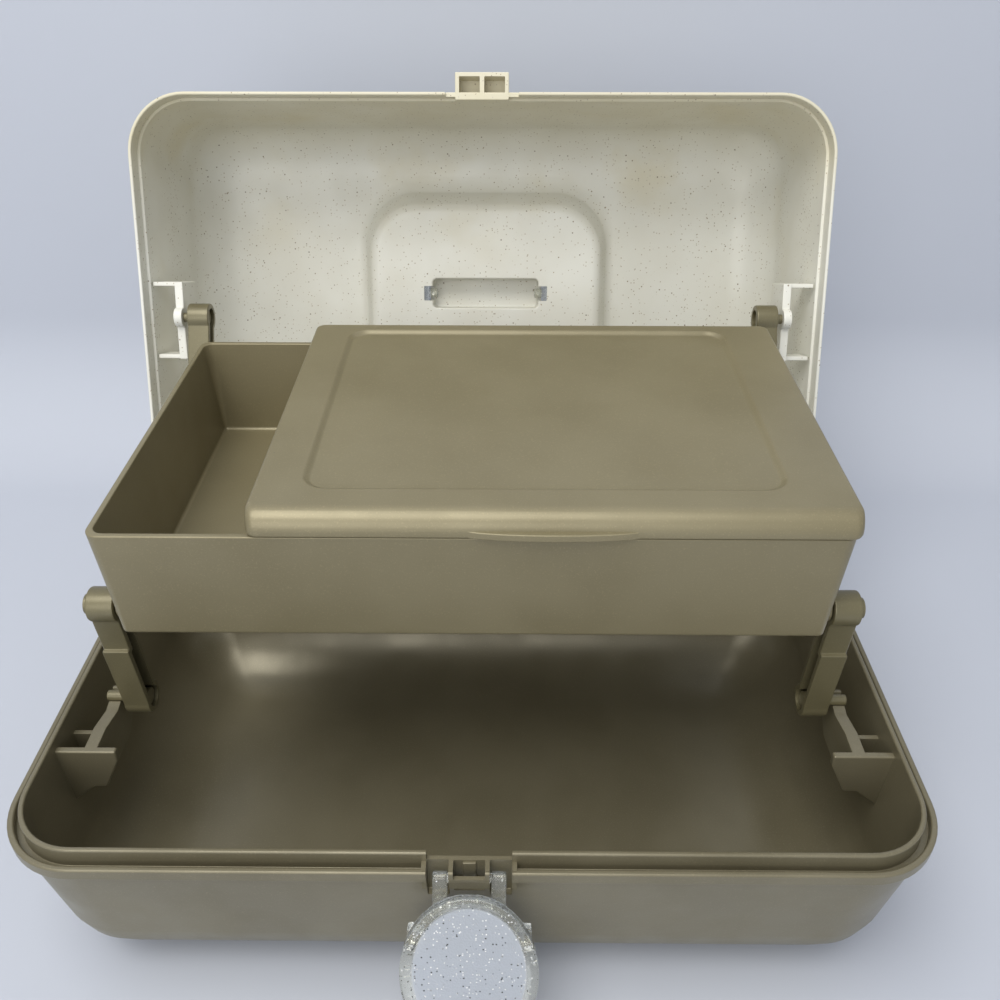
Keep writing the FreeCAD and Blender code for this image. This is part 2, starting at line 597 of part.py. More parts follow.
def make_tray():
    low = "(tray_top - tray_high)"


    def drafted(name, z, high, shrink, corner, radius):
        """A block that widens upwards by the tray's slope, with a round bottom edge."""
        body = body_of(name)
        sketch = sketch_on(body, "XY_Plane", name + "_low", z)
        rounded(sketch, "-(tray_half - (%s))" % shrink, "tray_half - (%s)" % shrink,
                "tray_front + %s" % shrink, "tray_back - (%s)" % shrink, corner)
        block = pad(body, sketch, high)
        bind(block, "TaperAngle", "atan(tray_slope / tray_high)")
        doc.recompute()
        soft = body.newObject("PartDesign::Fillet", name + "_round")
        bottom = [i for i, face in enumerate(block.Shape.Faces, 1)
                  if abs(face.CenterOfMass.z - value(z)) < 0.01]
        soft.Base = (block, ["Face%d" % bottom[0]])
        bind(soft, "Radius", radius)
        return body

    outer = drafted("tray_outer", low, "tray_high", "tray_slope", "tray_corner - tray_slope",
                    "tray_round")
    room = drafted("tray_room", low + " + tray_wall", "tray_high - tray_wall + 0.01",
                   "tray_slope + tray_wall - 0.1", "tray_inner_corner", "tray_inner_round")
    divider = box("tray_divider", "divider_x", "tray_front + 2", low + " + 1", "divider_thick",
                  "tray_back - tray_front - 4", "tray_high - 1 - divider_gap")
    front_boss = rod("tray_front_boss", "boss_out - boss_deep", FRONT_TOP_Y, FRONT_TOP_Z,
                     "4.8", "boss_deep")
    rear_boss = rod("tray_rear_boss", "boss_out - boss_deep", REAR_TRAY_Y, REAR_TRAY_Z,
                    "rear_boss", "boss_deep")
    ears = []
    for tag, start in EARS:
        ears.append(profile("tray_ear_" + tag, "YZ_Plane", start, "ear_thick", [
            (AXIS_Y + " - 4", "tray_top - 6"),
            ("tray_back - 1", "tray_top - 6"),
            ("tray_back - 1", "tray_top - 0.6"),
            (AXIS_Y + " + 1.8", "tray_top"),
            (AXIS_Y + " + 1.8", AXIS_Z + " + 0.9"),
            (AXIS_Y + " + 0.9", AXIS_Z + " + 1.8"),
            (AXIS_Y + " - 0.9", AXIS_Z + " + 1.8"),
            (AXIS_Y + " - 1.8", AXIS_Z + " + 0.9"),
            (AXIS_Y + " - 2.6", "tray_top"),
        ]))
    shell = cut("tray_shell", outer, room)
    whole = join("tray_whole", shell, divider, front_boss, mirrored("tray_front_boss_left", front_boss),
                 rear_boss, mirrored("tray_rear_boss_left", rear_boss), *ears)
    front_hole = rod("tray_front_hole", "boss_out - boss_deep + 2", FRONT_TOP_Y, FRONT_TOP_Z,
                     "rear_pin", "boss_deep")
    socket = rod("tray_socket", "boss_out - boss_deep + 2", REAR_TRAY_Y, REAR_TRAY_Z,
                 "rear_socket", "boss_deep")
    pin_hole = rod("cover_pin_hole", "cover_left - 5", AXIS_Y, AXIS_Z, "cover_pin",
                   "cover_right - cover_left + 10")
    return node("tray_body", cut("tray_body", whole, front_hole,
                                 mirrored("tray_front_hole_left", front_hole), socket,
                                 mirrored("tray_socket_left", socket), pin_hole))


def make_cover():
    """The flap over the right part of the tray, hinged at the back of the tray."""
    low = "(tray_top + cover_gap)"
    high = "(tray_top + cover_rise)"
    body = body_of("cover_outer")
    sketch = sketch_on(body, "XY_Plane", "cover_outline", low)
    rounded(sketch, "cover_left", "cover_right", "tray_front - 0.5", "tray_back", "cover_corner")
    block = pad(body, sketch, high + " - " + low)
    doc.recompute()
    soft = body.newObject("PartDesign::Fillet", "cover_bullnose")
    front_edges = []
    for i, edge in enumerate(block.Shape.Edges, 1):
        centre = edge.CenterOfMass
        if abs(centre.z - value(high)) < 0.01 and centre.y < value("tray_front"):
            front_edges.append("Edge%d" % i)
    soft.Base = (block, front_edges)
    bind(soft, "Radius", "cover_bull")
    room = slab("cover_room", low + " - 1", high + " - " + low + " - cover_wall + 1",
                "cover_left + cover_wall", "cover_right - cover_wall",
                "tray_front - 0.5 + cover_wall + 1.6", "tray_back - cover_wall",
                "cover_corner - cover_wall")
    panel = slab("cover_panel", high + " - panel_sink", "5", "cover_left + panel_left",
                 "cover_right - panel_right", "tray_front + panel_front",
                 "tray_back - panel_back", "panel_corner")
    back_trim = box("cover_back_trim", "cover_left - 1", "tray_back - cover_axis_in - 3", low + " - 1",
                    "cover_right - cover_left + 2", "cover_axis_in + 4", "1 + cover_back_gap")
    middle = "((cover_left + cover_right) / 2)"
    pull = body_of("cover_pull")
    lens = sketch_on(pull, "XY_Plane", "cover_pull_outline", low)
    outline(lens, [
        (middle + " - pull_half", "tray_front + 0.8"),
        (middle + " - pull_half * 0.6", "tray_front - 0.5 - pull_out * 0.62"),
        (middle + " - pull_half * 0.25", "tray_front - 0.5 - pull_out * 0.94"),
        (middle + " + pull_half * 0.25", "tray_front - 0.5 - pull_out * 0.94"),
        (middle + " + pull_half * 0.6", "tray_front - 0.5 - pull_out * 0.62"),
        (middle + " + pull_half", "tray_front + 0.8"),
    ])
    pad(pull, lens, "pull_thick")
    hole = rod("cover_hole", "cover_left - 1", AXIS_Y, AXIS_Z, "cover_pin + pin_play",
               "cover_right - cover_left + 2")
    ear_rooms = [box("cover_ear_room_" + tag, start + " - ear_play", AXIS_Y + " - ear_front",
                     low + " - 1", "ear_thick + 2 * ear_play", "ear_front + cover_axis_in + ear_back",
                     high + " - " + low + " - cover_wall + 1")
                 for tag, start in EARS]
    return node("tray_cover", cut("tray_cover", join("cover_whole", body, pull),
                                  room, panel, back_trim, hole, *ear_rooms))


def make_pins():
    for side, start, end in (("left", "cover_left", EARS[0][1] + " + ear_thick"),
                             ("right", EARS[1][1], "cover_right")):
        node("cover_pin_" + side, rod("cover_pin_" + side, start, AXIS_Y, AXIS_Z, "cover_pin",
                                      "%s - (%s)" % (end, start)))
    shaft = rod("tray_pin_shaft", "boss_out - boss_deep + 2", FRONT_TOP_Y, FRONT_TOP_Z, "rear_pin",
                "arm_outer + 0.4 - boss_out + boss_deep - 2")
    head = rod("tray_pin_head", "arm_outer + 0.4", FRONT_TOP_Y, FRONT_TOP_Z, "3.8", "1.4")
    right = join("tray_pin_right", shaft, head)
    node("tray_pin_right", right)
    node("tray_pin_left", mirrored("tray_pin_left", right))
    length = "(hinge_long + 2 * hinge_play + 2 * hinge_cheek)"
    hinge = rod("hinge_pin_right", "hinge_place - %s / 2" % length, HINGE_Y, HINGE_Z,
                "hinge_pin", length)
    node("hinge_pin_right", hinge)
    node("hinge_pin_left", mirrored("hinge_pin_left", hinge))


# ---------------------------------------------------------------- latch, drawn hanging straight down
def tilted(thing):
    """Turns a latch piece out from the front about the latch's upper pivot."""
    thing.Placement = Placement(
        Vector(0, value(RIM_FRONT + " + latch_pivot_y"), value("base_height - latch_pivot_drop")),
        Rotation(X_AXIS, -value("latch_tilt")))
    bind(thing, "Placement.Base.y", RIM_FRONT + " + latch_pivot_y")
    bind(thing, "Placement.Base.z", "base_height - latch_pivot_drop")
    return thing


def make_link():
    half = "(link_thick / 2)"
    sides = []
    for sign, tag in ((1, "right"), (-1, "left")):
        start = "link_in" if sign > 0 else "-link_out"
        wide = "link_out - link_in"
        sides.append(box("link_bar_" + tag, start, "-" + half, "-link_long", wide,
                         "link_thick", "link_long"))
        sides.append(rod("link_top_" + tag, start, 0, 0, half, wide))
        sides.append(rod("link_low_" + tag, start, 0, "-link_long", half, wide))
        pin_in = "link_in - 1.7" if sign > 0 else "-link_in - 0.5"
        sides.append(rod("link_stub_" + tag, pin_in, 0, 0, "link_pin", "2.2"))
        pin_out = "link_out - 0.5" if sign > 0 else "-link_out - 4.5"
        sides.append(rod("link_end_" + tag, pin_out, 0, "-link_long", "paddle_pin", "5"))
    near_bar = box("link_near_bar", "-link_in - 0.5", "-1.5", "-bar_near - bar_long",
                   "2 * link_in + 1", "3", "bar_long")
    far_bar = box("link_far_bar", "-link_in - 0.5", "-1", "-link_long - 1", "2 * link_in + 1",
                  "2", "2.4")
    return node("latch_link", tilted(join("latch_link", *sides, near_bar, far_bar)))


def make_paddle():
    """An oval plate with a raised border, cut off at the top, with two lugs behind it."""
    centre = "-(link_long + paddle_centre)"
    back = "link_thick / 2 + paddle_gap"
    body = body_of("paddle_plate")

    def oval(name, offset, shrink, long):
        sketch = sketch_on(body, "XZ_Plane", name, offset)
        wide, tall = value("paddle_half - %s" % shrink), value("paddle_tall - %s" % shrink)
        middle = value(centre)
        shape = Part.Ellipse(Vector(0, middle + tall, 0), Vector(wide, middle, 0), Vector(0, middle, 0))
        sketch.addGeometry(shape)
        sketch.exposeInternalGeometry(0)
        return pad(body, sketch, long)

    oval("paddle_face", back, "0", "paddle_thick + paddle_bead")
    field = body.newObject("Sketcher::SketchObject", "paddle_field")
    plane = next(f for f in body.Origin.OriginFeatures if f.Role == "XZ_Plane")
    field.AttachmentSupport = [(plane, "")]
    field.MapMode = "FlatFace"
    bind(field, "AttachmentOffset.Base.z", back + " + paddle_thick")
    wide, tall = value("paddle_half - paddle_rim"), value("paddle_tall - paddle_rim")
    middle = value(centre)
    field.addGeometry(Part.Ellipse(Vector(0, middle + tall, 0), Vector(wide, middle, 0),
                                   Vector(0, middle, 0)))
    doc.recompute()
    hollow = body.newObject("PartDesign::Pocket", "paddle_hollow")
    hollow.Profile = field
    hollow.Reversed = True
    bind(hollow, "Length", "paddle_bead + 1")
    lugs = []
    for sign, tag in ((1, "right"), (-1, "left")):
        start = "lug_in" if sign > 0 else "-lug_out"
        lugs.append(box("paddle_lug_" + tag, start, "-(%s) - 0.5" % back, "-link_long - lug_half",
                        "lug_out - lug_in", back + " + 0.5", "2 * lug_half"))
        lugs.append(rod("paddle_eye_" + tag, start, 0, "-link_long", "lug_half", "lug_out - lug_in"))
    top_trim = box("paddle_trim", "-30", "-15", "-link_long + paddle_above", "60", "30", "20")
    hole = rod("paddle_hole", "-30", 0, "-link_long", "paddle_pin + pin_play", "60")
    return node("latch_paddle", tilted(cut("latch_paddle", join("paddle_whole", body, *lugs),
                                           top_trim, hole)))


make_base_shell()
lid_closed = make_lid_shell()
handle_folded = make_handle()
make_arms()
make_tray()
make_cover()
make_pins()
make_link()
make_paddle()
doc.recompute()
node("lid_shell", opened("lid_shell", lid_closed))
node("handle", opened("handle", handle_folded))
doc.recompute()

problems = [o.Name + " " + ",".join(o.State) for o in doc.Objects
            if "Invalid" in o.State or "Error" in o.State]
for thing in nodes:
    shape = thing.Shape
    if shape.isNull() or not shape.isValid():
        problems.append(thing.Label + " has no valid shape")
        continue
    print(thing.Label, "solids", len(shape.Solids), "volume %.0f" % shape.Volume)
if problems:
    raise SystemExit("failed: " + "; ".join(problems))

os.makedirs("parts", exist_ok=True)
for thing in nodes:
    thing.Shape.exportStep("parts/%s.step" % thing.Label)
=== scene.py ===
import json
import math

import bmesh
import bpy
from mathutils import Matrix, Vector


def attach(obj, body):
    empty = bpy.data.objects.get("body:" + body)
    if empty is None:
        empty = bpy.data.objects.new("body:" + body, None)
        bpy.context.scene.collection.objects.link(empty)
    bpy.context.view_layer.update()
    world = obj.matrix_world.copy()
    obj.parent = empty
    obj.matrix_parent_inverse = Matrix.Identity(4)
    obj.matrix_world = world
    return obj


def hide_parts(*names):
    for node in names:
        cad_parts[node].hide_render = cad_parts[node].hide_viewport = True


# A storage case with a hinged lid, a cantilever tray, a folding handle and a draw latch.
# Pieces are modelled in millimetres and scaled to the frame's metres. What belongs to the
# lid is modelled with the lid closed and then turned open about the hinge axis.

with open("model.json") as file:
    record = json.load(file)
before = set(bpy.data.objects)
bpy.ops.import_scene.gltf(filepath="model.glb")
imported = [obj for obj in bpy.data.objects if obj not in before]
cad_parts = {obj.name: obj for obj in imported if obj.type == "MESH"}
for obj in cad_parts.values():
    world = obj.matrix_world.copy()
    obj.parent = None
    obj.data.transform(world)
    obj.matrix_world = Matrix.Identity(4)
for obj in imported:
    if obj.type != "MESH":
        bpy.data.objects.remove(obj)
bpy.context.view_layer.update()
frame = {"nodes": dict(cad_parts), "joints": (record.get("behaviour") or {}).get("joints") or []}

MM = 0.001
joints = {joint["name"]: joint for joint in frame["joints"]}


def pivot(name):
    """Where a joint's axis crosses the middle of the case, in millimetres."""
    return Vector(joints[name]["pos_m"]) / MM


def pivot_closed(name):
    """Y and Z of a joint on the lid, with the lid turned back to closed."""
    closed = Matrix.Rotation(OPEN_ANGLE, 3, "X") @ (pivot(name) - HINGE) + HINGE
    return closed.y, closed.z


HINGE = pivot("lid_hinge")
OPEN_ANGLE = math.radians(joints["lid_hinge"]["range_deg"][1])
SIDES = {"left": -1, "right": 1}

# base
RIM_X, RIM_Y, RIM_CORNER = 165, 98, 30
BASE_HIGH, LIP_HIGH, CHANNEL_LOW = 80, 84.3, 76.4
RIM_BAND, BASE_INSET, BASE_DRAFT = 5, 1.5, math.radians(7)
RIM_WALL, CHANNEL, LIP_WALL = 2.3, 2.4, 1.9
BASE_ROLL, BASE_FLOOR, INNER_DRAFT = 38, 2.4, math.radians(2.5)
SHELL_WALL = 2.2
# lid
LID_X, LID_Y, LID_CORNER = 162.4, 95.4, 27.4
LID_LOW, LEDGE_HIGH, LID_TOP = 76.8, 84.6, 168
LID_DRAFT, LID_ROLL, SKIRT_WALL, LEDGE = math.radians(3), 24, 1.5, 2.8
RECESS_X, RECESS_FRONT, RECESS_BACK, RECESS_DEEP = 65, -58, 56, 17.8
# tray
TRAY_X, TRAY_SLOPE, TRAY_CORNER, TRAY_WALL = 129, 2.7, 5, 2.2
# how round things are drawn
CORNER_STEPS = 14
ARC_STEP = math.radians(14)
SHARP_ANGLE = math.radians(38)


# ---------------------------------------------------------------- mesh tools
def soft(points):
    """A profile of (inset, height, radius) with each corner turned into an arc."""
    path = []
    for i, (inset, height, radius) in enumerate(points):
        here = Vector((inset, height))
        if radius == 0:
            path.append(tuple(here))
            continue
        before = (Vector(points[i - 1][:2]) - here).normalized()
        after = (Vector(points[i + 1][:2]) - here).normalized()
        half = before.angle(after) / 2
        middle = here + (before + after).normalized() * radius / math.sin(half)
        start = (here + before * radius / math.tan(half) - middle).normalized()
        end = (here + after * radius / math.tan(half) - middle).normalized()
        steps = max(2, round(start.angle(end) / ARC_STEP))
        for step in range(steps + 1):
            path.append(tuple(middle + radius * start.slerp(end, step / steps)))
    return path


def grown(bm, face, keep=False):
    """Extrudes a face into a new one at the same place; the old one stays only if kept."""
    made = bmesh.ops.extrude_face_region(bm, geom=[face])["geom"]
    if not keep and face.is_valid:
        bmesh.ops.delete(bm, geom=[face], context="FACES_ONLY")
    return next(item for item in made if isinstance(item, bmesh.types.BMFace))


class Shell:
    """A wall that grows ring by ring out of a flat face with round corners.

    A level is (left, right, front, back, corner, height).
    """

    def __init__(self, bm, level):
        self.bm = bm
        self.level = level
        left, right, front, back, corner, height = level
        before = set(bm.faces)
        spots = bmesh.ops.create_grid(bm, x_segments=1, y_segments=1, size=0.5)["verts"]
        bmesh.ops.scale(bm, vec=(right - left, back - front, 1), verts=spots)
        bmesh.ops.translate(
            bm, vec=((left + right) / 2, (front + back) / 2, height), verts=spots)
        bmesh.ops.bevel(bm, geom=spots, affect="VERTICES", offset=corner,
                        segments=CORNER_STEPS, profile=0.5, material=-1)
        self.start = next(face for face in bm.faces if face not in before)
        self.cap = self.start

    def to(self, level):
        """One more ring of wall, up to a level."""
        left, right, front, back, corner, _ = self.level
        new_left, new_right, new_front, new_back, new_corner, new_height = level
        self.cap = grown(self.bm, self.cap, keep=self.cap is self.start)
        for spot in self.cap.verts:
            if spot.co.x > (left + right) / 2:
                x, new_x = right - corner, new_right - new_corner
            else:
                x, new_x = left + corner, new_left + new_corner
            if spot.co.y > (front + back) / 2:
                y, new_y = back - corner, new_back - new_corner
            else:
                y, new_y = front + corner, new_front + new_corner
            reach = (spot.co.xy - Vector((x, y))) * new_corner / corner
            spot.co = (new_x + reach.x, new_y + reach.y, new_height)
        self.level = level

    def along(self, path, level_at):
        for inset, height in path:
            self.to(level_at(inset, height))


def about_centre(half_x, half_y, corner_at):
    """Turns (inset, height) into a level that is centred on the origin."""
    def level_at(inset, height):
        x, y = half_x - inset, half_y - inset
        return -x, x, -y, y, corner_at(inset), height
    return level_at


def bridge(bm, first, second):
    """Opens two faces and joins their outlines with a ring of faces."""
    edges = list(first.edges) + list(second.edges)
    bmesh.ops.delete(bm, geom=[first, second], context="FACES_ONLY")
    bmesh.ops.bridge_loops(bm, edges=edges)


def round_edges(bm, edges, width, steps=2):
    bmesh.ops.bevel(bm, geom=edges, affect="EDGES", offset=width, segments=steps,
                    profile=0.5, material=-1, clamp_overlap=True)


def sharp_edges(spots):
    """The edges between these vertices where two faces meet at a clear angle."""
    edges = {edge for spot in spots for edge in spot.link_edges}
    return [edge for edge in edges
            if len(edge.link_faces) == 2 and edge.calc_face_angle() > math.radians(30)]


def block(bm, low, high, edge=0.4, steps=2):
    """A box between two corners, with round edges."""
    low, high = Vector(low), Vector(high)
    spots = bmesh.ops.create_cube(bm, size=1)["verts"]
    bmesh.ops.scale(bm, vec=high - low, verts=spots)
    bmesh.ops.translate(bm, vec=(low + high) / 2, verts=spots)
    if edge:
        round_edges(bm, sharp_edges(spots), edge, steps)


def bar(bm, start, end, y, z, radius, edge=0.3, steps=32):
    """A round bar along X, with round rims."""
    spots = bmesh.ops.create_cone(bm, cap_ends=True, segments=steps, radius1=radius,
                                  radius2=radius, depth=end - start)["verts"]
    bmesh.ops.rotate(bm, matrix=Matrix.Rotation(math.pi / 2, 3, "Y"), verts=spots)
    bmesh.ops.translate(bm, vec=((start + end) / 2, y, z), verts=spots)
    if edge:
        round_edges(bm, sharp_edges(spots), edge)


def prism(bm, outline, start, end, edge=0.3, steps=2, along="X"):
    """An outline made solid along X (drawn in Y and Z) or along Y (drawn in X and Z)."""
    def spot(first, second):
        return (start, first, second) if along == "X" else (first, start, second)

    spots = [bm.verts.new(spot(*point)) for point in outline]
    face = bm.faces.new(spots)
    made = bmesh.ops.extrude_face_region(bm, geom=[face])["geom"]
    far = [item for item in made if isinstance(item, bmesh.types.BMVert)]
    reach = (end - start, 0, 0) if along == "X" else (0, end - start, 0)
    bmesh.ops.translate(bm, vec=reach, verts=far)
    bmesh.ops.recalc_face_normals(bm, faces=list({f for v in spots + far for f in v.link_faces}))
    if edge:
        round_edges(bm, sharp_edges(spots + far), edge, steps)


def arc(y, z, radius, start, end, steps=10):
    """Points on an arc in Y and Z; angles in degrees from +Y towards +Z."""
    turns = [math.radians(start + (end - start) * i / steps) for i in range(steps + 1)]
    return [(y + radius * math.cos(a), z + radius * math.sin(a)) for a in turns]


def as_object(bm, name):
    mesh = bpy.data.meshes.new(name)
    bm.to_mesh(mesh)
    bm.free()
    obj = bpy.data.objects.new(name, mesh)
    bpy.context.scene.collection.objects.link(obj)
    return obj


def combined(bm, tool, operation):
    """The first mesh cut by the second one, or joined with it."""
    pair = []
    for part in (bm, tool):
        bmesh.ops.recalc_face_normals(part, faces=part.faces)
        pair.append(as_object(part, "half"))
    step = pair[0].modifiers.new("step", "BOOLEAN")
    step.operation = operation
    step.solver = "EXACT"
    step.use_self = True
    step.object = pair[1]
    shaped = pair[0].evaluated_get(bpy.context.evaluated_depsgraph_get())
    result = bmesh.new()
    mesh = bpy.data.meshes.new_from_object(shaped)
    result.from_mesh(mesh)
    for data in (mesh, pair[0].data, pair[1].data):
        bpy.data.meshes.remove(data)
    return result


def mirror_x(bm):
    """Adds the same shapes on the other side of the case."""
    made = bmesh.ops.duplicate(bm, geom=bm.verts[:] + bm.edges[:] + bm.faces[:])["geom"]
    spots = [item for item in made if isinstance(item, bmesh.types.BMVert)]
    faces = [item for item in made if isinstance(item, bmesh.types.BMFace)]
    bmesh.ops.scale(bm, vec=(-1, 1, 1), verts=spots)
    bmesh.ops.reverse_faces(bm, faces=faces)


def opened(bm):
    """Turns what was modelled with the lid closed to where it is with the lid open."""
    bmesh.ops.rotate(bm, cent=HINGE, matrix=Matrix.Rotation(-OPEN_ANGLE, 3, "X"), verts=bm.verts)


def piece(bm, name, body, material, replaced=()):
    """Makes a finished object of a mesh and gives it its body and material."""
    bmesh.ops.recalc_face_normals(bm, faces=bm.faces)
    bmesh.ops.scale(bm, vec=(MM, MM, MM), verts=bm.verts)
    obj = as_object(bm, name)
    for polygon in obj.data.polygons:
        polygon.use_smooth = True
    obj.data.set_sharp_from_angle(angle=SHARP_ANGLE)
    flat = obj.modifiers.new("flat faces stay flat", "WEIGHTED_NORMAL")
    flat.keep_sharp = True
    obj.data.materials.append(material)
    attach(obj, body)
    if replaced:
        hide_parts(*replaced)
    return obj


# ---------------------------------------------------------------- base
def base_tub():
    """The lower half: a bowl with a rim, a channel and a raised lip."""
    flat, lip_in = 50, RIM_WALL + CHANNEL + LIP_WALL
    foot = BASE_INSET + (BASE_HIGH - RIM_BAND) * math.tan(BASE_DRAFT)
    heel = lip_in + (LIP_HIGH - BASE_FLOOR) * math.tan(INNER_DRAFT)
    bowl_at = about_centre(RIM_X, RIM_Y, lambda inset: RIM_CORNER - 0.5 * (inset - BASE_INSET))
    rim_at = about_centre(RIM_X, RIM_Y, lambda inset: RIM_CORNER - inset)
    room_at = about_centre(RIM_X, RIM_Y, lambda inset: RIM_CORNER - lip_in - 0.5 * (inset - lip_in))
    under_rim = BASE_HIGH - RIM_BAND
    outside = soft([(flat, 0, 0), (foot, 0, BASE_ROLL), (BASE_INSET, under_rim, 0)])
    rim = soft([
        (BASE_INSET, under_rim, 0), (0, under_rim, 0.5), (0, BASE_HIGH, 0.8),
        (RIM_WALL, BASE_HIGH, 0.8), (RIM_WALL, CHANNEL_LOW, 0.3),
        (RIM_WALL + CHANNEL, CHANNEL_LOW, 0.3), (RIM_WALL + CHANNEL, LIP_HIGH, 0.7),
        (lip_in, LIP_HIGH, 0.7), (lip_in, LIP_HIGH - 1, 0),
    ])
    inside = soft([(lip_in, LIP_HIGH - 1, 0), (heel, BASE_FLOOR, BASE_ROLL - SHELL_WALL),
                   (flat, BASE_FLOOR, 0)])
    bm = bmesh.new()
    tub = Shell(bm, bowl_at(*outside[0]))
    tub.along(outside[1:], bowl_at)
    tub.along(rim, rim_at)
    tub.along(inside[1:], room_at)
    return bm


def latch_seat(bm):
    """Cuts the place of the latch into the front rim, with its keeper between two arms."""
    front, notch, keeper, pocket = -RIM_Y, 14.5, 6.9, 5.4
    ledge = BASE_HIGH + 0.3
    filler = bmesh.new()
    block(filler, (-notch - 1.6, front + 1, 70), (notch + 1.6, front + 6.8, ledge - 0.02), 0)
    bm = combined(bm, filler, "UNION")
    tools = bmesh.new()
    block(tools, (-notch, front - 1, ledge), (notch, front + 8.4, LIP_HIGH + 3), 0.5)
    block(tools, (-pocket, front + 1.4, BASE_HIGH - 13), (pocket, front + 5.2, ledge + 3), 0.4)
    block(tools, (-pocket, front - 2, BASE_HIGH - 3.2), (pocket, front + 3, ledge + 3), 0.4)
    block(tools, (-keeper, front - 2, BASE_HIGH - 11), (keeper, front + 1.1, BASE_HIGH - 5.4), 0.4)
    for side in SIDES.values():
        ends = sorted((side * keeper, side * notch))
        block(tools, (ends[0], front - 2, BASE_HIGH - 16), (ends[1], front + 5.4, ledge + 3), 0.5)
    bm = combined(bm, tools, "DIFFERENCE")
    block(bm, (-2.3, front + 4.4, BASE_HIGH - 12), (2.3, front + 6, BASE_HIGH - 0.6), 0.3)
    return bm


def arm_bracket():
    """A plate with a slot for the right front arm's pin, and the ribs that carry it."""
    low = pivot("front_arm_right_swing")
    slot, front, plate_low, wall = 2.3, -48, 60, 159.3
    bm = bmesh.new()
    prism(bm, [
        (front + 0.5, BASE_HIGH), (front + 12, BASE_HIGH), (low.y - 6.4, low.z - 1.8),
        *arc(low.y, low.z, slot, 200, 340, 8),
        (low.y + 3.4, low.z + 1.4), (low.y + 5.2, low.z + 0.6), (low.y + 5.2, plate_low + 6),
        (low.y - 2, plate_low), (front + 0.5, plate_low),
    ], 143, 148, 0.5)
    prism(bm, [(-34, plate_low), (-34, BASE_HIGH - 5.7), (-32, BASE_HIGH - 5.7),
               (-32, plate_low)], 147, wall, 0.3)
    prism(bm, [(135.6, BASE_HIGH), (wall, BASE_HIGH), (wall, plate_low - 10),
               (148, plate_low), (143, plate_low), (135.6, BASE_HIGH - 5)],
          front, front + 2.8, 0.7, 3, along="Y")
    return bm


def bored(bm, start, end, y, z, radius):
    """The mesh with a round hole along X."""
    drill = bmesh.new()
    bar(drill, start, end, y, z, radius, 0)
    return combined(bm, drill, "DIFFERENCE")


def hinge_cheeks():
    """The two cheeks of the right hinge, on the rear wall of the base."""
    place, long, play, cheek, radius = 112, 11.4, 0.3, 8, 3.2
    y, z = HINGE.y, HINGE.z
    bm = bmesh.new()
    for start in (place - long / 2 - play - cheek, place + long / 2 + play):
        prism(bm, [
            (y - 7.2, BASE_HIGH - 1), (y - 7.2, BASE_HIGH - 16), (y - 6, BASE_HIGH - 16),
            (y + radius * 0.9, BASE_HIGH - 4), *arc(y, z, radius, 0, 180, 14),
            (y - 5, BASE_HIGH),
        ], start, start + cheek, 0.35)
    return bored(bm, place - 20, place + 20, y, z, 1.32)


# ---------------------------------------------------------------- lid, closed until opened()
def recess_at(grow):
    """Turns (inset, height) into a level of the handle recess, grown on every side."""
    side_slope, end_slope, corner = 5.5, 10, 27

    def level_at(inset, height):
        past = max(0, inset - side_slope)
        end = min(inset, side_slope) * end_slope / side_slope + past
        x = RECESS_X + grow - inset
        round_off = corner + grow - min(inset, side_slope) * 0.7 - past
        return (-x, x, RECESS_FRONT - grow + end, RECESS_BACK + grow - end, round_off, height)
    return level_at


def block_at(half_x, front, back, corner):
    """Turns (inset, height) into a level of the block that carries the handle."""
    def level_at(inset, height):
        return -half_x + inset, half_x - inset, front + inset, back - inset, corner - inset, height
    return level_at


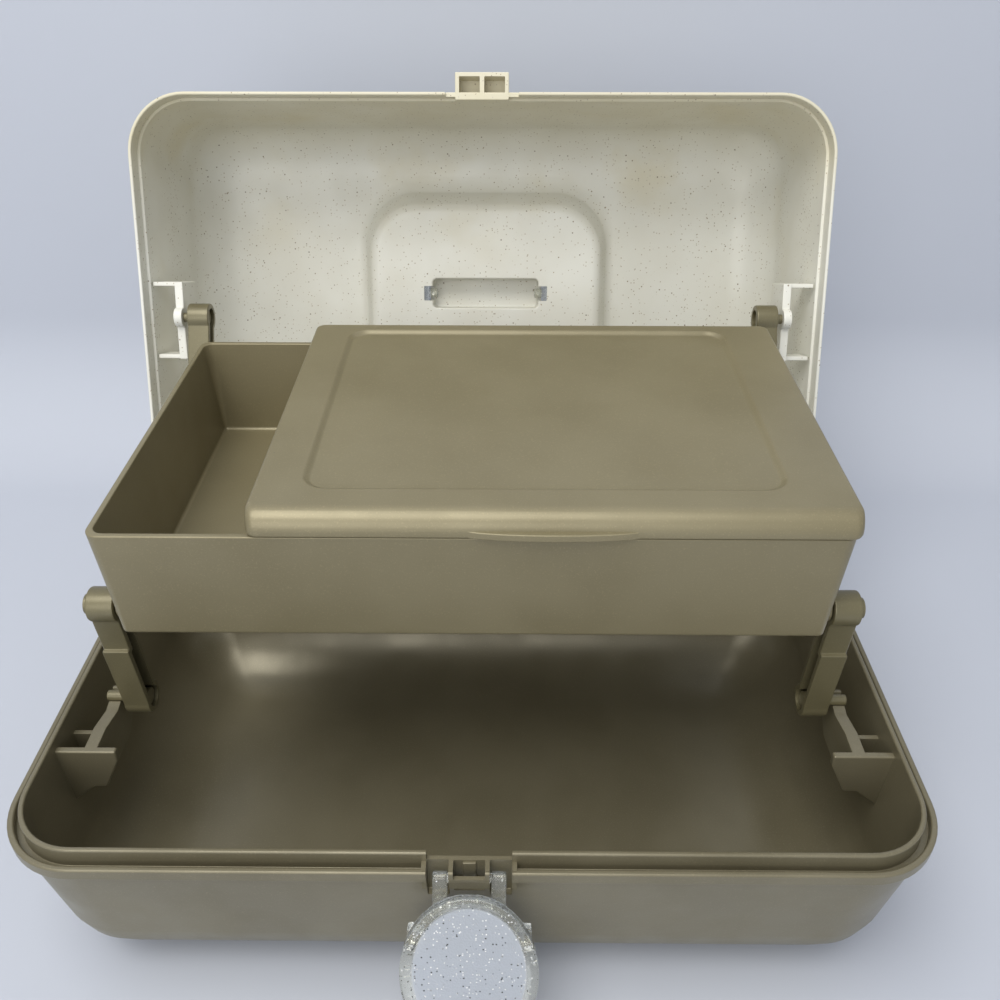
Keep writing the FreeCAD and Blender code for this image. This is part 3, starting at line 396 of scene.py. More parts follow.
def lid_bowl():
    """The upper half: skirt, ledge, walls, the handle recess and its block."""
    flat = 40
    brow = (LID_TOP - LEDGE_HIGH) * math.tan(LID_DRAFT)
    ceiling = LID_TOP - SHELL_WALL
    inner_brow = LEDGE + (ceiling - LEDGE_HIGH) * math.tan(INNER_DRAFT)
    wall_at = about_centre(LID_X, LID_Y, lambda inset: LID_CORNER - 0.5 * inset)
    skirt_at = about_centre(LID_X, LID_Y, lambda inset: LID_CORNER - inset)
    room_at = about_centre(LID_X, LID_Y, lambda inset: LID_CORNER - LEDGE - 0.5 * (inset - LEDGE))
    bm = bmesh.new()
    outside = soft([(flat, LID_TOP, 0), (brow, LID_TOP, LID_ROLL), (0, LEDGE_HIGH, 0)])
    skirt = soft([
        (0, LEDGE_HIGH, 0), (0, LID_LOW, 0.6), (SKIRT_WALL, LID_LOW, 0.6),
        (SKIRT_WALL, LEDGE_HIGH, 0.3), (LEDGE, LEDGE_HIGH, 0.5), (LEDGE, LEDGE_HIGH + 1, 0),
    ])
    inside = soft([(LEDGE, LEDGE_HIGH + 1, 0), (inner_brow, ceiling, LID_ROLL - SHELL_WALL),
                   (flat, ceiling, 0)])
    wall = Shell(bm, wall_at(*outside[0]))
    wall.along(outside[1:], wall_at)
    wall.along(skirt[1:], skirt_at)
    wall.along(inside[1:], room_at)

    floor = LID_TOP - RECESS_DEEP
    block_top = floor + 14
    outer_recess = soft([(-4, LID_TOP, 0), (0, LID_TOP, 3), (5.5, floor, 4), (15, floor, 0)])
    recess = Shell(bm, recess_at(0)(*outer_recess[0]))
    recess.along(outer_recess[1:], recess_at(0))
    outer_block = soft([(-2, floor, 0), (0, floor, 0.8), (0, block_top, 1.4), (1.6, block_top, 0)])
    carrier = Shell(bm, block_at(31, -15, 5, 3)(*outer_block[0]))
    carrier.along(outer_block[1:], block_at(31, -15, 5, 3))

    under = floor - SHELL_WALL
    bulge_path = soft([(-6, ceiling, 0), (0, ceiling, 5), (5.5, under, 5), (15, under, 0)])
    bulge = Shell(bm, recess_at(SHELL_WALL)(*bulge_path[0]))
    bulge.along(bulge_path[1:], recess_at(SHELL_WALL))
    pocket_top = block_top - SHELL_WALL
    pocket_path = soft([(-1.6, under, 0), (0, under, 0.8), (0, pocket_top, 1),
                        (1.5, pocket_top, 0)])
    pocket = Shell(bm, block_at(28.8, -12.8, 2.8, 2.4)(*pocket_path[0]))
    pocket.along(pocket_path[1:], block_at(28.8, -12.8, 2.8, 2.4))
    bridge(bm, wall.start, recess.start)
    bridge(bm, recess.cap, carrier.start)
    bridge(bm, wall.cap, bulge.start)
    bridge(bm, bulge.cap, pocket.start)
    return bm


def cut_lid(bm):
    """Cuts the windows at the ends of the block and the skirt's gaps for hinges and latch."""
    tools = bmesh.new()
    axis, half, latch_gap = -5, 3.9, 16.7
    for side in SIDES.values():
        ends = sorted((side * 28.2, side * 33.6))
        block(tools, (ends[0], axis - half, 146), (ends[1], axis + half, 160.5), 0.4)
    block(tools, (-RIM_X - 1, LID_Y - 10, LID_LOW - 1), (RIM_X + 1, LID_Y + 3, BASE_HIGH + 0.4), 0)
    block(tools, (-latch_gap, -LID_Y - 1, LID_LOW - 1),
          (latch_gap, -LID_Y + 3.5, BASE_HIGH + 0.7), 0)
    return combined(bm, tools, "DIFFERENCE")


def catch():
    """The box on the lid's front that the latch grips, with two pockets."""
    half, front, back, low, high, wall = 12.25, -104.4, -92.6, 80.6, 92.6, 1.8
    bm = bmesh.new()
    block(bm, (-half, front, low), (half, back, high), 0.5)
    pockets = bmesh.new()
    for side in SIDES.values():
        ends = sorted((side * 1, side * (half - wall)))
        block(pockets, (ends[0], front + wall, low - 2), (ends[1], -95.4, high - wall), 0.4)
    bm = combined(bm, pockets, "DIFFERENCE")
    block(bm, (-half - 4.5, -LID_Y - 0.5, low + 0.4), (half + 4.5, -LID_Y + 1.4, low + 2.2), 0.4)
    return bm


def lid_bracket():
    """A plate with an eye for the right rear arm's pin, and two ribs to the side wall."""
    plate_in, plate_out, wall = 143, 147, 158.6
    near, far = HINGE.y - 78, HINGE.y - 114.5
    eye_y, low = HINGE.y - 98, BASE_HIGH + 0.3
    bm = bmesh.new()
    prism(bm, [
        (far, low), *arc(eye_y, BASE_HIGH, 4.6, 180, 360, 14), (near, low),
        (near, low + 20), (far, low + 20),
    ], plate_in, plate_out, 0.6)
    for start in (near - 2, far):
        prism(bm, [(start, LEDGE_HIGH), (start, low + 20), (start + 2, low + 20),
                   (start + 2, LEDGE_HIGH)], plate_out - 1, wall, 0.4)
    return bm


def knuckle():
    """The middle knuckle of the right hinge, on the rear wall of the lid."""
    place, long, radius = 112, 11.4, 3.2
    y, z = HINGE.y, HINGE.z
    bm = bmesh.new()
    prism(bm, [
        (LID_Y - 1.4, BASE_HIGH + 1), (LID_Y + 0.6, BASE_HIGH + 0.6),
        *arc(y, z, radius, 250, 450, 16), (LID_Y + 0.4, BASE_HIGH + 15),
        (LID_Y - 1.4, BASE_HIGH + 15),
    ], place - long / 2, place + long / 2, 0.35)
    return bm


# ---------------------------------------------------------------- arms
def arm_mesh(low, high, stubs, shoulder=(0, 0)):
    """A channel arm on the right side between two pivots, open towards the tray.

    stubs are pins moulded on it as (share of its length, x start, x end, radius).
    shoulder is how far up, and by how much, its lower front stands proud.
    """
    inner, outer, head, shank, wall, deep = 130, 140, 6.5, 4.5, 2.2, 7.4
    long = (high - low).length
    step_high, step_out = shoulder
    meet = math.degrees(math.acos(shank / head))
    low_meet = math.degrees(math.acos((shank + step_out) / head))
    step = [(-shank, step_high), (-shank - step_out, step_high)] if step_out else []
    bm = bmesh.new()
    prism(bm, [*arc(0, 0, head, 180 - low_meet, 360 + meet, 24),
               *arc(0, long, head, -meet, 180 + meet, 24), *step], inner, outer, 0.6)
    side = min(bm.faces, key=lambda face: face.calc_center_median().x)
    bmesh.ops.inset_region(bm, faces=[side], thickness=wall - 0.6, use_even_offset=True)
    bmesh.ops.translate(bm, vec=(deep, 0, 0), verts=grown(bm, side).verts)
    for height in (0, long):
        bar(bm, inner + 1.2, outer - 1, 0, height, 3.4, 0.4)
    for share, start, end, radius in stubs:
        bar(bm, start, end, 0, share * long, radius, 0.4)
    reach = high - low
    turn = Matrix.Rotation(math.atan2(-reach.y, reach.z), 3, "X")
    bmesh.ops.rotate(bm, cent=(0, 0, 0), matrix=turn, verts=bm.verts)
    bmesh.ops.translate(bm, vec=(0, low.y, low.z), verts=bm.verts)
    return bm


# ---------------------------------------------------------------- tray
TRAY_FRONT, TRAY_BACK, TRAY_LOW, TRAY_TOP = -36.5, 113, 127.4, 173.4
TRAY_PIN = pivot("tray_level")
REAR_PIN = TRAY_PIN + Vector((0, 128.3, -4))
COVER_AXIS = pivot("cover_hinge")
COVER_LEFT, COVER_RIGHT, COVER_LOW, COVER_TOP = -74.5, 129.8, 173.8, 182.4
COVER_FRONT = TRAY_FRONT - 0.5
EARS = (-71.9, 123.6)


def tray_tub():
    """The tray: drafted walls, a divider, the pivots on its sides and the cover's ears."""
    flat, inner_foot = 20, TRAY_WALL + TRAY_SLOPE - 0.1
    floor = TRAY_LOW + TRAY_WALL

    def outside_at(inset, height):
        return (-TRAY_X + inset, TRAY_X - inset, TRAY_FRONT + inset, TRAY_BACK - inset,
                max(0.5, TRAY_CORNER - inset), height)

    def inside_at(inset, height):
        return (*outside_at(inset, height)[:4], max(0.5, 6.4 - inset), height)

    bm = bmesh.new()
    outside = soft([(flat, TRAY_LOW, 0), (TRAY_SLOPE, TRAY_LOW, 1.9), (0, TRAY_TOP, 0.5),
                    (1.1, TRAY_TOP, 0)])
    inside = soft([(1.1, TRAY_TOP, 0), (TRAY_WALL, TRAY_TOP, 0.5), (inner_foot, floor, 1.6),
                   (flat, floor, 0)])
    tub = Shell(bm, outside_at(*outside[0]))
    tub.along(outside[1:], outside_at)
    tub.along(inside[1:], inside_at)
    seat, lean = 1.2, TRAY_SLOPE + 1.2
    prism(bm, [(TRAY_FRONT + lean, TRAY_LOW + 1), (TRAY_BACK - lean, TRAY_LOW + 1),
               (TRAY_BACK - seat, TRAY_TOP - 1.6), (TRAY_FRONT + seat, TRAY_TOP - 1.6)],
          -73.2, -71.2, 0.5)
    for side in SIDES.values():
        ends = sorted((side * 124.6, side * 129.7))
        bar(bm, *ends, TRAY_PIN.y, TRAY_PIN.z, 4.8, 0.5)
        bar(bm, *ends, REAR_PIN.y, REAR_PIN.z, 6.4, 0.5)
    y, z = COVER_AXIS.y, COVER_AXIS.z
    for start in EARS:
        prism(bm, [(y - 4, TRAY_TOP - 6), (TRAY_BACK - 1, TRAY_TOP - 6),
                   (TRAY_BACK - 2.1, TRAY_TOP - 0.6), *arc(y, z, 1.8, 0, 180, 10)],
              start, start + 3, 0.2)
    return bm


def cover_plate():
    """The flap over the right of the tray: a bullnose front, a sunk panel, a hollow back."""
    bull, side, wall, lip = 7.5, 1.3, 2.2, 0.5
    panel = (COVER_LEFT + 17, COVER_RIGHT - 22, TRAY_FRONT + 17, TRAY_BACK - 7)
    sink, shoulder, panel_corner, corner = 1.5, 3, 8, 3.2

    def panel_at(outset, height):
        left, right, front, back = panel
        return (left - outset, right + outset, front - outset, back + outset,
                panel_corner + outset, height)

    def rim_at(height):
        """The outer outline: the front rolls over widely, the other sides just a little."""
        def roll(radius):
            over = max(0, height - (COVER_TOP - radius))
            return radius - math.sqrt(max(0, radius * radius - over * over))
        small, wide = roll(side), roll(bull)
        return (COVER_LEFT + small, COVER_RIGHT - small, COVER_FRONT + wide, TRAY_BACK - small,
                corner, height)

    def room_at(inset, height):
        return (COVER_LEFT + inset, COVER_RIGHT - inset, COVER_FRONT + inset, TRAY_BACK - inset,
                max(0.6, corner - inset + 0.6), height)

    bm = bmesh.new()
    plate = Shell(bm, panel_at(-6, COVER_TOP - sink))
    floor_steps = 8
    for step in range(floor_steps + 1):
        share = step / floor_steps
        rise = share * share * (3 - 2 * share)
        plate.to(panel_at(shoulder * (share - 0.5), COVER_TOP - sink * (1 - rise)))
    heights = [COVER_TOP - bull * (1 - math.cos(math.radians(turn))) for turn in range(0, 91, 6)]
    heights += [COVER_TOP - side * share for share in (0.12, 0.3, 0.55, 1)]
    for height in sorted(set(heights), reverse=True):
        plate.to(rim_at(height))
    under = soft([(0, COVER_TOP - bull, 0), (0, COVER_LOW, lip), (wall, COVER_LOW, lip),
                  (wall, COVER_TOP - 2 * wall, 1.2), (wall + 9, COVER_TOP - wall, 0)])
    plate.along(under[1:], room_at)
    return bm


def cover_details(bm):
    """Cuts the room for the ears, and adds the finger lip."""
    middle = (COVER_LEFT + COVER_RIGHT) / 2
    tools = bmesh.new()
    block(tools, (COVER_LEFT - 1, COVER_AXIS.y - 3, COVER_LOW - 1),
          (COVER_RIGHT + 1, TRAY_BACK + 1, COVER_LOW + 1.5), 0)
    for start in EARS:
        block(tools, (start - 0.5, COVER_AXIS.y - 2.8, COVER_LOW - 1),
              (start + 3.5, TRAY_BACK + 1, COVER_TOP - 2.2), 0)
    bm = combined(bm, tools, "DIFFERENCE")
    lip = bmesh.new()
    spots = bmesh.ops.create_circle(lip, cap_ends=True, segments=64, radius=1)["verts"]
    bmesh.ops.scale(lip, vec=(31, 3.6, 1), verts=spots)
    made = bmesh.ops.extrude_face_region(lip, geom=lip.faces[:])["geom"]
    top = [item for item in made if isinstance(item, bmesh.types.BMVert)]
    bmesh.ops.translate(lip, vec=(0, 0, 2.6), verts=top)
    bmesh.ops.scale(lip, vec=(0.985, 0.93, 1), verts=top)
    round_edges(lip, sharp_edges(lip.verts), 0.7, 3)
    bmesh.ops.translate(lip, vec=(middle, COVER_FRONT + 1.4, COVER_LOW + 0.1), verts=lip.verts)
    bm = combined(bm, lip, "UNION")
    return bm


# ---------------------------------------------------------------- latch
LATCH = pivot("latch_swing")
PADDLE = pivot("paddle_swing")
LATCH_TILT = math.atan2(LATCH.y - PADDLE.y, LATCH.z - PADDLE.z)


def hung(bm):
    """Puts what was drawn hanging straight down at the latch's place and tilt."""
    bmesh.ops.rotate(bm, cent=(0, 0, 0), matrix=Matrix.Rotation(-LATCH_TILT, 3, "X"),
                     verts=bm.verts)
    bmesh.ops.translate(bm, vec=LATCH, verts=bm.verts)


def latch_link():
    """Two bars on stub pins, tied by a flat cross bar and a round one."""
    long, inner, outer, half = (LATCH - PADDLE).length, 7.5, 12.5, 2
    bm = None
    for side in SIDES.values():
        arm = bmesh.new()
        ends = sorted((side * inner, side * outer))
        prism(arm, [*arc(0, 0, half, 0, 180, 12), *arc(0, -long, half, 180, 360, 12)],
              *ends, 0.6, 3)
        bm = arm if bm is None else combined(bm, arm, "UNION")
        for pin in ((5.8, inner + 1, 0, 1.6), (outer - 1, 17, -long, 1.3)):
            stub = bmesh.new()
            bar(stub, *sorted((side * pin[0], side * pin[1])), 0, pin[2], pin[3], 0.3, 24)
            bm = combined(bm, stub, "UNION")
    for low, high, thick in ((-13, -9.5, 1.5), (-long - 1, -long + 1.4, 1)):
        cross = bmesh.new()
        block(cross, (-inner - 1, -thick, low), (inner + 1, thick, high), 0.5)
        bm = combined(bm, cross, "UNION")
    hung(bm)
    return bm


def latch_paddle():
    """An oval plate with a raised border, cut flat at its top, on two lugs."""
    long = (LATCH - PADDLE).length
    wide, tall, centre, top = 23.75, 29, -long - 12, -long + 16.8
    back, thick, bead, border, slant = 2.7, 2.2, 1.2, 4, 1
    bm = bmesh.new()
    spots = bmesh.ops.create_circle(bm, cap_ends=True, segments=96, radius=1)["verts"]
    bmesh.ops.scale(bm, vec=(wide, tall, 1), verts=spots)
    bmesh.ops.rotate(bm, cent=(0, 0, 0), matrix=Matrix.Rotation(math.pi / 2, 3, "X"), verts=spots)
    bmesh.ops.translate(bm, vec=(0, -back, centre), verts=spots)
    bmesh.ops.bisect_plane(bm, geom=bm.verts[:] + bm.edges[:] + bm.faces[:],
                           plane_co=(0, 0, top), plane_no=(0, 0, 1), clear_outer=True)
    made = bmesh.ops.extrude_face_region(bm, geom=bm.faces[:])["geom"]
    front = next(item for item in made if isinstance(item, bmesh.types.BMFace))
    bmesh.ops.translate(bm, vec=(0, -thick - bead, 0), verts=front.verts)
    bmesh.ops.recalc_face_normals(bm, faces=bm.faces)
    for inset, depth in ((border - slant, 0), (slant, bead)):
        front = grown(bm, front)
        bmesh.ops.scale(bm, vec=(1 - inset / wide, 1, 1 - inset / tall),
                        space=Matrix.Translation((0, 0, -centre)), verts=front.verts)
        bmesh.ops.translate(bm, vec=(0, depth, 0), verts=front.verts)
    round_edges(bm, sharp_edges(bm.verts), 0.6, 3)
    for side in SIDES.values():
        lug = bmesh.new()
        ends = sorted((side * 13.2, side * 21.2))
        prism(lug, [(-back - 0.6, -long - 3.6), *arc(0, -long, 3.6, -90, 90, 16),
                    (-back - 0.6, -long + 3.6)], *ends, 0.5)
        bm = combined(bm, lug, "UNION")
    hung(bm)
    return bm


# ---------------------------------------------------------------- handle, folded until opened()
def carry_handle():
    """A round-cornered bow whose two feet turn in to the block."""
    axis, high = pivot_closed("handle_fold")
    out_x, reach, back, thick, wide, corner = 53, 44, 4.8, 8, 9, 18
    bm = bmesh.new()
    section = soft([(3, -thick / 2, 0), (0, -thick / 2, 2.6), (0, thick / 2, 2.6),
                    (wide, thick / 2, 2.6), (wide, -thick / 2, 2.6), (3, -thick / 2, 0)])

    def bow_at(inset, height):
        return (-out_x + inset, out_x - inset, axis - reach + inset, axis + 40 - inset,
                corner - inset, high + height)

    bow = Shell(bm, bow_at(*section[0]))
    bow.along(section[1:], bow_at)
    bmesh.ops.delete(bm, geom=[bow.start, bow.cap], context="FACES_ONLY")
    bmesh.ops.remove_doubles(bm, verts=bm.verts, dist=0.01)
    cut = bmesh.ops.bisect_plane(bm, geom=bm.verts[:] + bm.edges[:] + bm.faces[:],
                                 plane_co=(0, axis + back, 0), plane_no=(0, 1, 0),
                                 clear_outer=True)["geom_cut"]
    bmesh.ops.edgeloop_fill(
        bm, edges=[item for item in cut if isinstance(item, bmesh.types.BMEdge)])
    for side in SIDES.values():
        foot = bmesh.new()
        block(foot, (min(side * 31.5, side * 48), axis - back, high - thick / 2),
              (max(side * 31.5, side * 48), axis + back - 0.02, high + thick / 2), 1.6, 3)
        bm = combined(bm, foot, "UNION")
        stub = bmesh.new()
        bar(stub, *sorted((side * 26.8, side * 33)), axis, high, 2.5, 0.4)
        bm = combined(bm, stub, "UNION")
    return bm


# ---------------------------------------------------------------- materials
def paint(red, green, blue):
    """A colour as it looks on a screen, 0 to 255, as the shader wants it."""
    def linear(level):
        share = level / 255
        return share / 12.92 if share <= 0.04045 else ((share + 0.055) / 1.055) ** 2.4
    return linear(red), linear(green), linear(blue), 1


class Finish:
    """A material of one shader, whose patterns read the place in the part's own frame."""

    def __init__(self, name, **settings):
        self.material = bpy.data.materials.new(name)
        self.material.use_nodes = True
        self.tree = self.material.node_tree
        self.shader = self.tree.nodes["Principled BSDF"]
        for setting, amount in settings.items():
            self.shader.inputs[setting.replace("_", " ")].default_value = amount
        self.place = self.add("ShaderNodeTexCoord").outputs["Object"]
        self.relief = None

    def add(self, kind, **properties):
        node = self.tree.nodes.new(kind)
        for name, setting in properties.items():
            setattr(node, name, setting)
        return node

    def feed(self, socket, source):
        """Links a pattern to a socket, or sets the socket where it is a plain number."""
        if isinstance(source, bpy.types.NodeSocket):
            self.tree.links.new(source, socket)
        else:
            socket.default_value = source

    def to(self, name, source):
        self.feed(self.shader.inputs[name], source)

    def stretched(self, scale):
        """The place, with the pattern drawn out along the axes of small scale."""
        node = self.add("ShaderNodeMapping")
        self.feed(node.inputs["Vector"], self.place)
        self.feed(node.inputs["Scale"], scale)
        return node.outputs["Vector"]

    def noise(self, size, detail=2, place=None):
        """Cloudy noise; size is about how wide one cloud is, in metres."""
        node = self.add("ShaderNodeTexNoise")
        self.feed(node.inputs["Vector"], place or self.place)
        self.feed(node.inputs["Scale"], 1 / size)
        self.feed(node.inputs["Detail"], detail)
        return node.outputs["Fac"]

    def specks(self, size, radius, share):
        """Round specks: cells of a size, a share of which hold one of that radius."""
        cells = self.add("ShaderNodeTexVoronoi")
        self.feed(cells.inputs["Vector"], self.place)
        self.feed(cells.inputs["Scale"], 1 / size)
        near = self.ramp(cells.outputs["Distance"], radius, radius * 0.6)
        parts = self.add("ShaderNodeSeparateColor")
        self.feed(parts.inputs["Color"], cells.outputs["Color"])
        chosen = self.ramp(parts.outputs["Red"], share, share - 0.02)
        return self.times(near, chosen), parts.outputs["Green"]

    def ramp(self, source, start, end, low=0.0, high=1.0):
        """Takes a pattern from low at start to high at end, and no further."""
        node = self.add("ShaderNodeMapRange", interpolation_type="SMOOTHSTEP")
        for name, amount in (("Value", source), ("From Min", start), ("From Max", end),
                             ("To Min", low), ("To Max", high)):
            self.feed(node.inputs[name], amount)
        return node.outputs["Result"]

    def times(self, first, second):
        node = self.add("ShaderNodeMath", operation="MULTIPLY")
        self.feed(node.inputs[0], first)
        self.feed(node.inputs[1], second)
        return node.outputs[0]

    def height(self, axis):
        """The place along one axis, in metres."""
        node = self.add("ShaderNodeSeparateXYZ")
        self.feed(node.inputs[0], self.place)
        return node.outputs[axis]

    def reach(self, centre, half):
        """How far out a place lies in the X and Z plane: 1 on the oval of these half sizes."""
        scale = (1 / half[0], 0, 1 / half[1])
        node = self.add("ShaderNodeMapping")
        self.feed(node.inputs["Vector"], self.place)
        self.feed(node.inputs["Scale"], scale)
        self.feed(node.inputs["Location"], (-centre[0] * scale[0], 0, -centre[1] * scale[2]))
        out = self.add("ShaderNodeVectorMath", operation="LENGTH")
        self.feed(out.inputs[0], node.outputs["Vector"])
        return out.outputs["Value"]

    def between(self, share, first, second):
        """Mixes two colours by a pattern."""
        node = self.add("ShaderNodeMix", data_type="RGBA")
        self.feed(node.inputs["Factor"], share)
        self.feed(node.inputs[6], first)
        self.feed(node.inputs[7], second)
        return node.outputs[2]

    def bump(self, pattern, depth, strength=1.0):
        """Raises the surface by a pattern; depth in metres."""
        node = self.add("ShaderNodeBump")
        self.feed(node.inputs["Height"], pattern)
        self.feed(node.inputs["Distance"], depth)
        self.feed(node.inputs["Strength"], strength)
        if self.relief is not None:
            self.feed(node.inputs["Normal"], self.relief)
        self.relief = node.outputs["Normal"]
        self.to("Normal", self.relief)


def pearl_plastic(name, colour, shade, rough, metal=0.3, grain=0.35):
    """Satin plastic with a fine metallic pigment, handled until it is faintly smudged."""
    finish = Finish(name, Metallic=metal, Coat_Weight=0.12, Coat_Roughness=0.3)
    cloud = finish.noise(0.05, 4)
    tone = finish.between(finish.ramp(cloud, 0.35, 0.7), colour, shade)
    pigment = finish.noise(0.0006, 1)
    lifted = tuple(min(1, level * 1.3) for level in colour[:3]) + (1,)
    finish.to("Base Color", finish.between(finish.ramp(pigment, 0.55, 0.8, 0, 0.5), tone, lifted))
    smudge = finish.noise(0.028, 5)
    finish.to("Roughness", finish.ramp(smudge, 0.3, 0.75, rough - 0.05, rough + 0.08))
    finish.bump(finish.noise(0.0009, 2), 0.00006, grain)
    return finish


def tray_plastic():
    """Champagne pearl, with dust specks and a few scuffs."""
    finish = pearl_plastic("champagne pearl plastic", paint(136, 127, 99), paint(129, 120, 92), 0.4)
    mark, tint = finish.specks(0.012, 0.03, 0.25)
    before = finish.shader.inputs["Base Color"].links[0].from_socket
    dust = finish.between(tint, paint(70, 60, 40), paint(205, 200, 185))
    finish.to("Base Color", finish.between(finish.times(mark, 0.6), before, dust))
    return finish.material


def base_plastic():
    """The same pearl, greyer, with wiped streaks in its gloss."""
    finish = pearl_plastic("bronze pearl plastic", paint(124, 117, 95), paint(115, 108, 86), 0.4)
    streak = finish.noise(0.02, 5, finish.stretched((1, 0.35, 1)))
    finish.to("Roughness", finish.ramp(streak, 0.3, 0.72, 0.3, 0.42))
    return finish.material


def lid_plastic():
    """Warm white with fine tan and grey flecks, yellowed in patches, with a painted warm shade
    towards the top.
    """
    finish = Finish("flecked cream plastic", Coat_Weight=0.1, Coat_Roughness=0.3)
    cream = finish.between(finish.ramp(finish.noise(0.04, 3), 0.3, 0.7), paint(228, 227, 218),
                           paint(222, 220, 209))
    high = finish.height("Z")
    # towards the top of the opened lid the cream turns warmer and darker: painted shade and painted
    # bounce light from the tray
    warm_shaded = finish.between(finish.ramp(high, 0.215, 0.262, 0, 0.55), cream, paint(204, 193, 153))
    stain = finish.times(finish.ramp(finish.noise(0.045, 6), 0.48, 0.8),
                         finish.ramp(high, 0.15, 0.25, 0.1, 0.7))
    tone = finish.between(stain, warm_shaded, paint(206, 195, 158))
    for size, radius, share, dark, pale in (
            (0.0016, 0.24, 0.4, paint(160, 144, 116), paint(196, 189, 172)),
            (0.0036, 0.13, 0.42, paint(116, 99, 74), paint(160, 149, 128))):
        mark, tint = finish.specks(size, radius, share)
        tone = finish.between(mark, tone, finish.between(tint, dark, pale))
    finish.to("Base Color", tone)
    finish.to("Roughness", finish.ramp(finish.noise(0.02, 4), 0.3, 0.7, 0.36, 0.5))
    finish.bump(finish.noise(0.0012, 2), 0.00005, 0.4)
    return finish.material


def shaded_arm_plastic():
    """The same pearl, darkened as painted shade for the arms that sit under the tray."""
    # the tray's pearl times about 0.85: painted shade, since the arms sit in the tray's shade
    return pearl_plastic("pearl plastic darkened as painted shade", paint(116, 109, 82), paint(107, 100, 74),
                         0.38).material


def glitter_plastic(name, flakes, oval=None):
    """Clear plastic with flakes, each a small mirror at its own angle; milky inside an oval.

    oval is the centre and the half sizes (X and Z) of the milky field, in metres.
    """
    finish = Finish(name, IOR=1.47, Roughness=0.06)
    haze = finish.ramp(finish.noise(0.012, 4), 0.4, 0.75, 0.04, 0.16)
    clear, milk = paint(246, 247, 240), paint(200, 205, 213)
    body, passes = clear, 0.92
    if oval:
        field = finish.ramp(finish.reach(*oval), 1.02, 0.96)
        body = finish.between(field, clear, milk)
        passes = finish.ramp(field, 0, 1, 0.92, 0.4)
    mark, tint = finish.specks(0.0011, 0.34, flakes)
    silver = finish.between(finish.ramp(tint, 0.3, 0.5), paint(104, 104, 98), paint(255, 253, 246))
    finish.to("Base Color", finish.between(mark, body, silver))
    finish.to("Metallic", finish.times(mark, 0.85))
    finish.to("Transmission Weight", finish.ramp(mark, 0, 1, passes, 0.1))
    finish.to("Roughness", finish.ramp(mark, 0, 1, haze, 0.25))
    finish.bump(finish.noise(0.0007, 1), 0.0002, 0.5)
    return finish.material


def pin_steel():
    """Drawn wire: fine lines along its length and dull grey patches."""
    finish = Finish("drawn steel", Metallic=1.0)
    line = finish.noise(0.0004, 2, finish.stretched((0.05, 1, 1)))
    finish.to("Base Color", finish.between(finish.noise(0.004, 3), paint(168, 168, 170),
                                           paint(130, 130, 133)))
    finish.to("Roughness", finish.ramp(line, 0.3, 0.7, 0.25, 0.42))
    finish.bump(line, 0.00003, 0.4)
    return finish.material


def paper(name, colour, shade):
    """Dull paper that is seen through from behind, so that it hides nothing there."""
    finish = Finish(name, Roughness=0.9)
    finish.to("Base Color", finish.between(finish.noise(0.4, 2), colour, shade))
    sides = finish.add("ShaderNodeMixShader")
    finish.feed(sides.inputs[0], finish.add("ShaderNodeNewGeometry").outputs["Backfacing"])
    finish.feed(sides.inputs[1], finish.shader.outputs[0])
    finish.feed(sides.inputs[2], finish.add("ShaderNodeBsdfTransparent").outputs[0])
    finish.feed(finish.tree.nodes["Material Output"].inputs["Surface"], sides.outputs[0])
    return finish.material


# ---------------------------------------------------------------- the case
FLECKED, BRONZE, CHAMPAGNE, SHADED_PEARL = lid_plastic(), base_plastic(), tray_plastic(), shaded_arm_plastic()
CLEAR, STEEL = glitter_plastic("clear plastic", 0.1), pin_steel()
GLITTER = glitter_plastic("glitter plastic", 0.5, ((0, 0.0461), (0.0198, 0.0227)))


def joined(bm, *parts):
    for part in parts:
        bm = combined(bm, part, "UNION")
    return bm


def both_sides(bm):
    mirror_x(bm)
    return bm


def make_base():
    bm = joined(latch_seat(base_tub()), both_sides(arm_bracket()), both_sides(hinge_cheeks()))
    piece(bm, "base_tub", "base", BRONZE, ("base_shell",))


def make_lid():
    bm = joined(cut_lid(lid_bowl()), catch(), both_sides(lid_bracket()), both_sides(knuckle()))
    opened(bm)
    piece(bm, "lid_bowl", "lid", FLECKED, ("lid_shell",))


def make_handle():
    bm = carry_handle()
    opened(bm)
    piece(bm, "carry_handle", "handle", CLEAR, ("handle",))


def make_arms():
    """Each arm runs from its lower pivot to its upper one."""
    front_low, front_high = pivot("front_arm_right_swing"), pivot("tray_level")
    rear_low, rear_high = REAR_PIN, pivot("rear_arm_right_swing")
    front_stubs = [(0, 137.7, 148.6, 2.2)]
    rear_stubs = [(0, 126.2, 139, 1.9), (1, 137.7, 147.6, 2.2)]
    for side in SIDES:
        for name, low, high, stubs, shoulder in (
                ("front_arm_", front_low, front_high, front_stubs, (33.8, 1.6)),
                ("rear_arm_", rear_low, rear_high, rear_stubs, (0, 0))):
            bm = arm_mesh(low, high, stubs, shoulder)
            if side == "left":
                bmesh.ops.scale(bm, vec=(-1, 1, 1), verts=bm.verts)
                bmesh.ops.reverse_faces(bm, faces=bm.faces)
            piece(bm, name + side + "_channel", name + side, SHADED_PEARL, (name + side,))


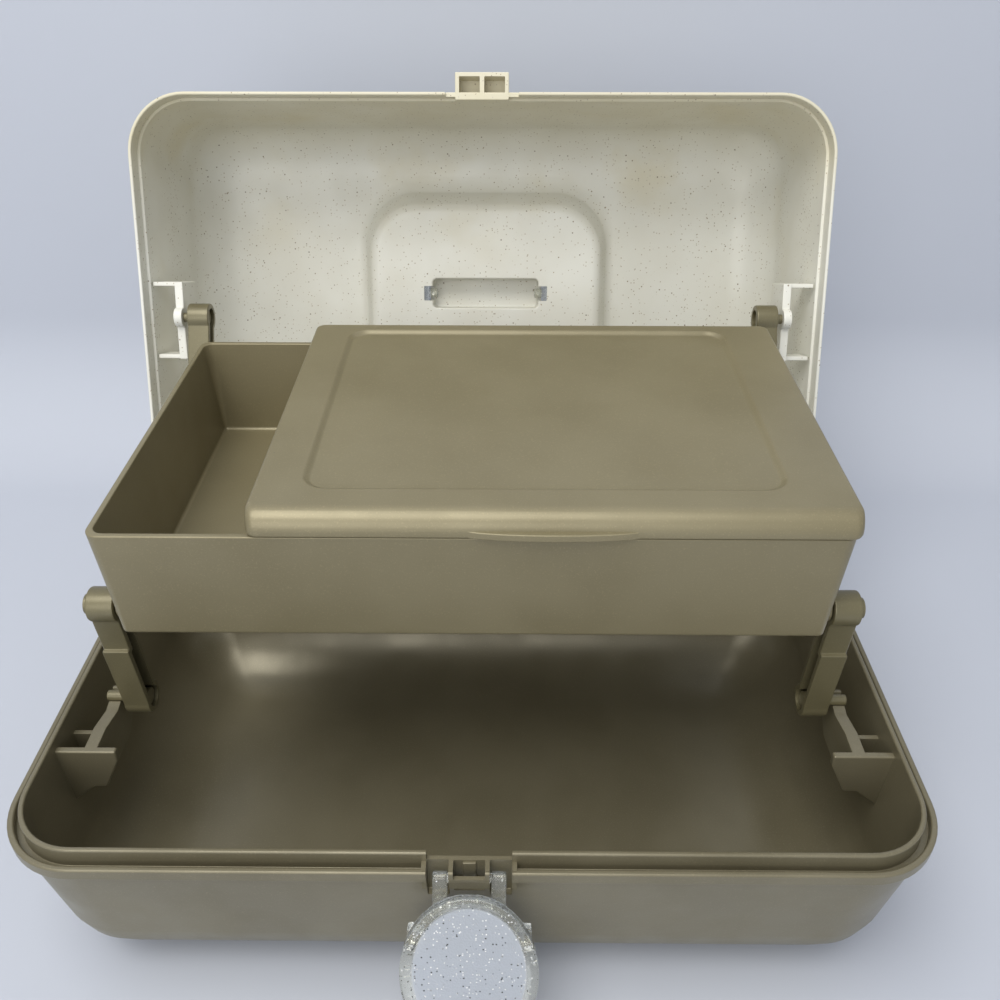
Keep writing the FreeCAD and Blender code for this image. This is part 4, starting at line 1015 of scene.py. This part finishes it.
def make_tray():
    bm = tray_tub()
    for side in SIDES.values():
        bm = bored(bm, *sorted((side * 125.8, side * 131)), REAR_PIN.y, REAR_PIN.z, 4.1)
    y, z = COVER_AXIS.y, COVER_AXIS.z
    piece(bored(bm, COVER_LEFT - 5, COVER_RIGHT + 5, y, z, 1.3), "tray_tub", "tray",
          CHAMPAGNE, ("tray_body",))
    cover = cover_details(cover_plate())
    piece(bored(cover, COVER_LEFT - 5, COVER_RIGHT + 5, y, z, 1.32), "tray_flap", "tray_cover",
          CHAMPAGNE, ("tray_cover",))


def make_latch():
    piece(latch_link(), "latch_bars", "latch_link", CLEAR, ("latch_link",))
    piece(latch_paddle(), "latch_oval", "latch_paddle", GLITTER, ("latch_paddle",))


def finish_pins():
    """The pins keep their own shape and get a finish."""
    # the tray pins take the arms' pearl, which is darkened as painted shade
    for name, material in (("hinge_pin_", STEEL), ("cover_pin_", STEEL), ("tray_pin_", SHADED_PEARL)):
        for side in SIDES:
            mesh = frame["nodes"][name + side].data
            mesh.materials.clear()
            mesh.materials.append(material)


make_base()
make_lid()
make_handle()
make_arms()
make_tray()
make_latch()
finish_pins()


# ---------------------------------------------------------------- room, light and camera
def backdrop():
    """Pale paper that rises in a soft bend behind the case, on a table of the same colour."""
    wide, front, back, bend, high, drop = 3, -3, 0.33, 0.09, 2.5, 0.0004
    white = paper("pale paper", paint(192, 196, 206), paint(188, 192, 202))
    curved = [(front, 0), *arc(back - bend, bend, bend, 270, 360, 16), (back, high)]
    for name, path in (("paper", curved), ("table", [(front, -drop), (-front, -drop)])):
        bm = bmesh.new()
        spots = [bm.verts.new((-wide, y, z)) for y, z in path]
        edges = [bm.edges.new(pair) for pair in zip(spots, spots[1:])]
        made = bmesh.ops.extrude_edge_only(bm, edges=edges)["geom"]
        bmesh.ops.translate(bm, vec=(2 * wide, 0, 0),
                            verts=[item for item in made if isinstance(item, bmesh.types.BMVert)])
        bm.normal_update()
        if bm.faces[:][0].normal.z < 0:
            bmesh.ops.reverse_faces(bm, faces=bm.faces)
        obj = as_object(bm, name)
        for polygon in obj.data.polygons:
            polygon.use_smooth = True
        obj.data.materials.append(white)


def area_lamp(name, place, target, size, power, colour):
    lamp = bpy.data.lights.new(name, "AREA")
    lamp.shape = "DISK"
    lamp.size = size
    lamp.energy = power
    lamp.color = colour
    obj = bpy.data.objects.new(name, lamp)
    obj.location = place
    obj.rotation_euler = (Vector(target) - Vector(place)).to_track_quat("-Z", "Y").to_euler()
    bpy.context.scene.collection.objects.link(obj)


def light_room():
    world = bpy.data.worlds.new("room")
    bpy.context.scene.world = world
    world.use_nodes = True
    sky = world.node_tree.nodes["Background"]
    sky.inputs["Color"].default_value = (0.9, 0.94, 1, 1)
    sky.inputs["Strength"].default_value = 0.5
    area_lamp("ceiling", (-0.3, -0.45, 1.5), (0, 0.02, 0.08), 1.1, 16.5, (1, 0.99, 0.95))
    area_lamp("front", (-0.35, -1.5, 0.75), (0, 0.1, 0.16), 1.2, 9.5, (1, 0.99, 0.96))


def aim_camera():
    place, lens = (0.0119, -0.2823, 0.3599), 33.67
    pitch, yaw = math.radians(34.81), math.radians(-0.47)
    camera = bpy.data.cameras.new("camera")
    camera.sensor_width = 36
    camera.lens = lens
    obj = bpy.data.objects.new("camera", camera)
    forward = Vector((math.sin(yaw) * math.cos(pitch), math.cos(yaw) * math.cos(pitch),
                      -math.sin(pitch)))
    obj.location = place
    obj.rotation_euler = forward.to_track_quat("-Z", "Y").to_euler()
    bpy.context.scene.collection.objects.link(obj)
    bpy.context.scene.camera = obj


backdrop()
light_room()
aim_camera()
bpy.context.scene.view_settings.view_transform = "Standard"
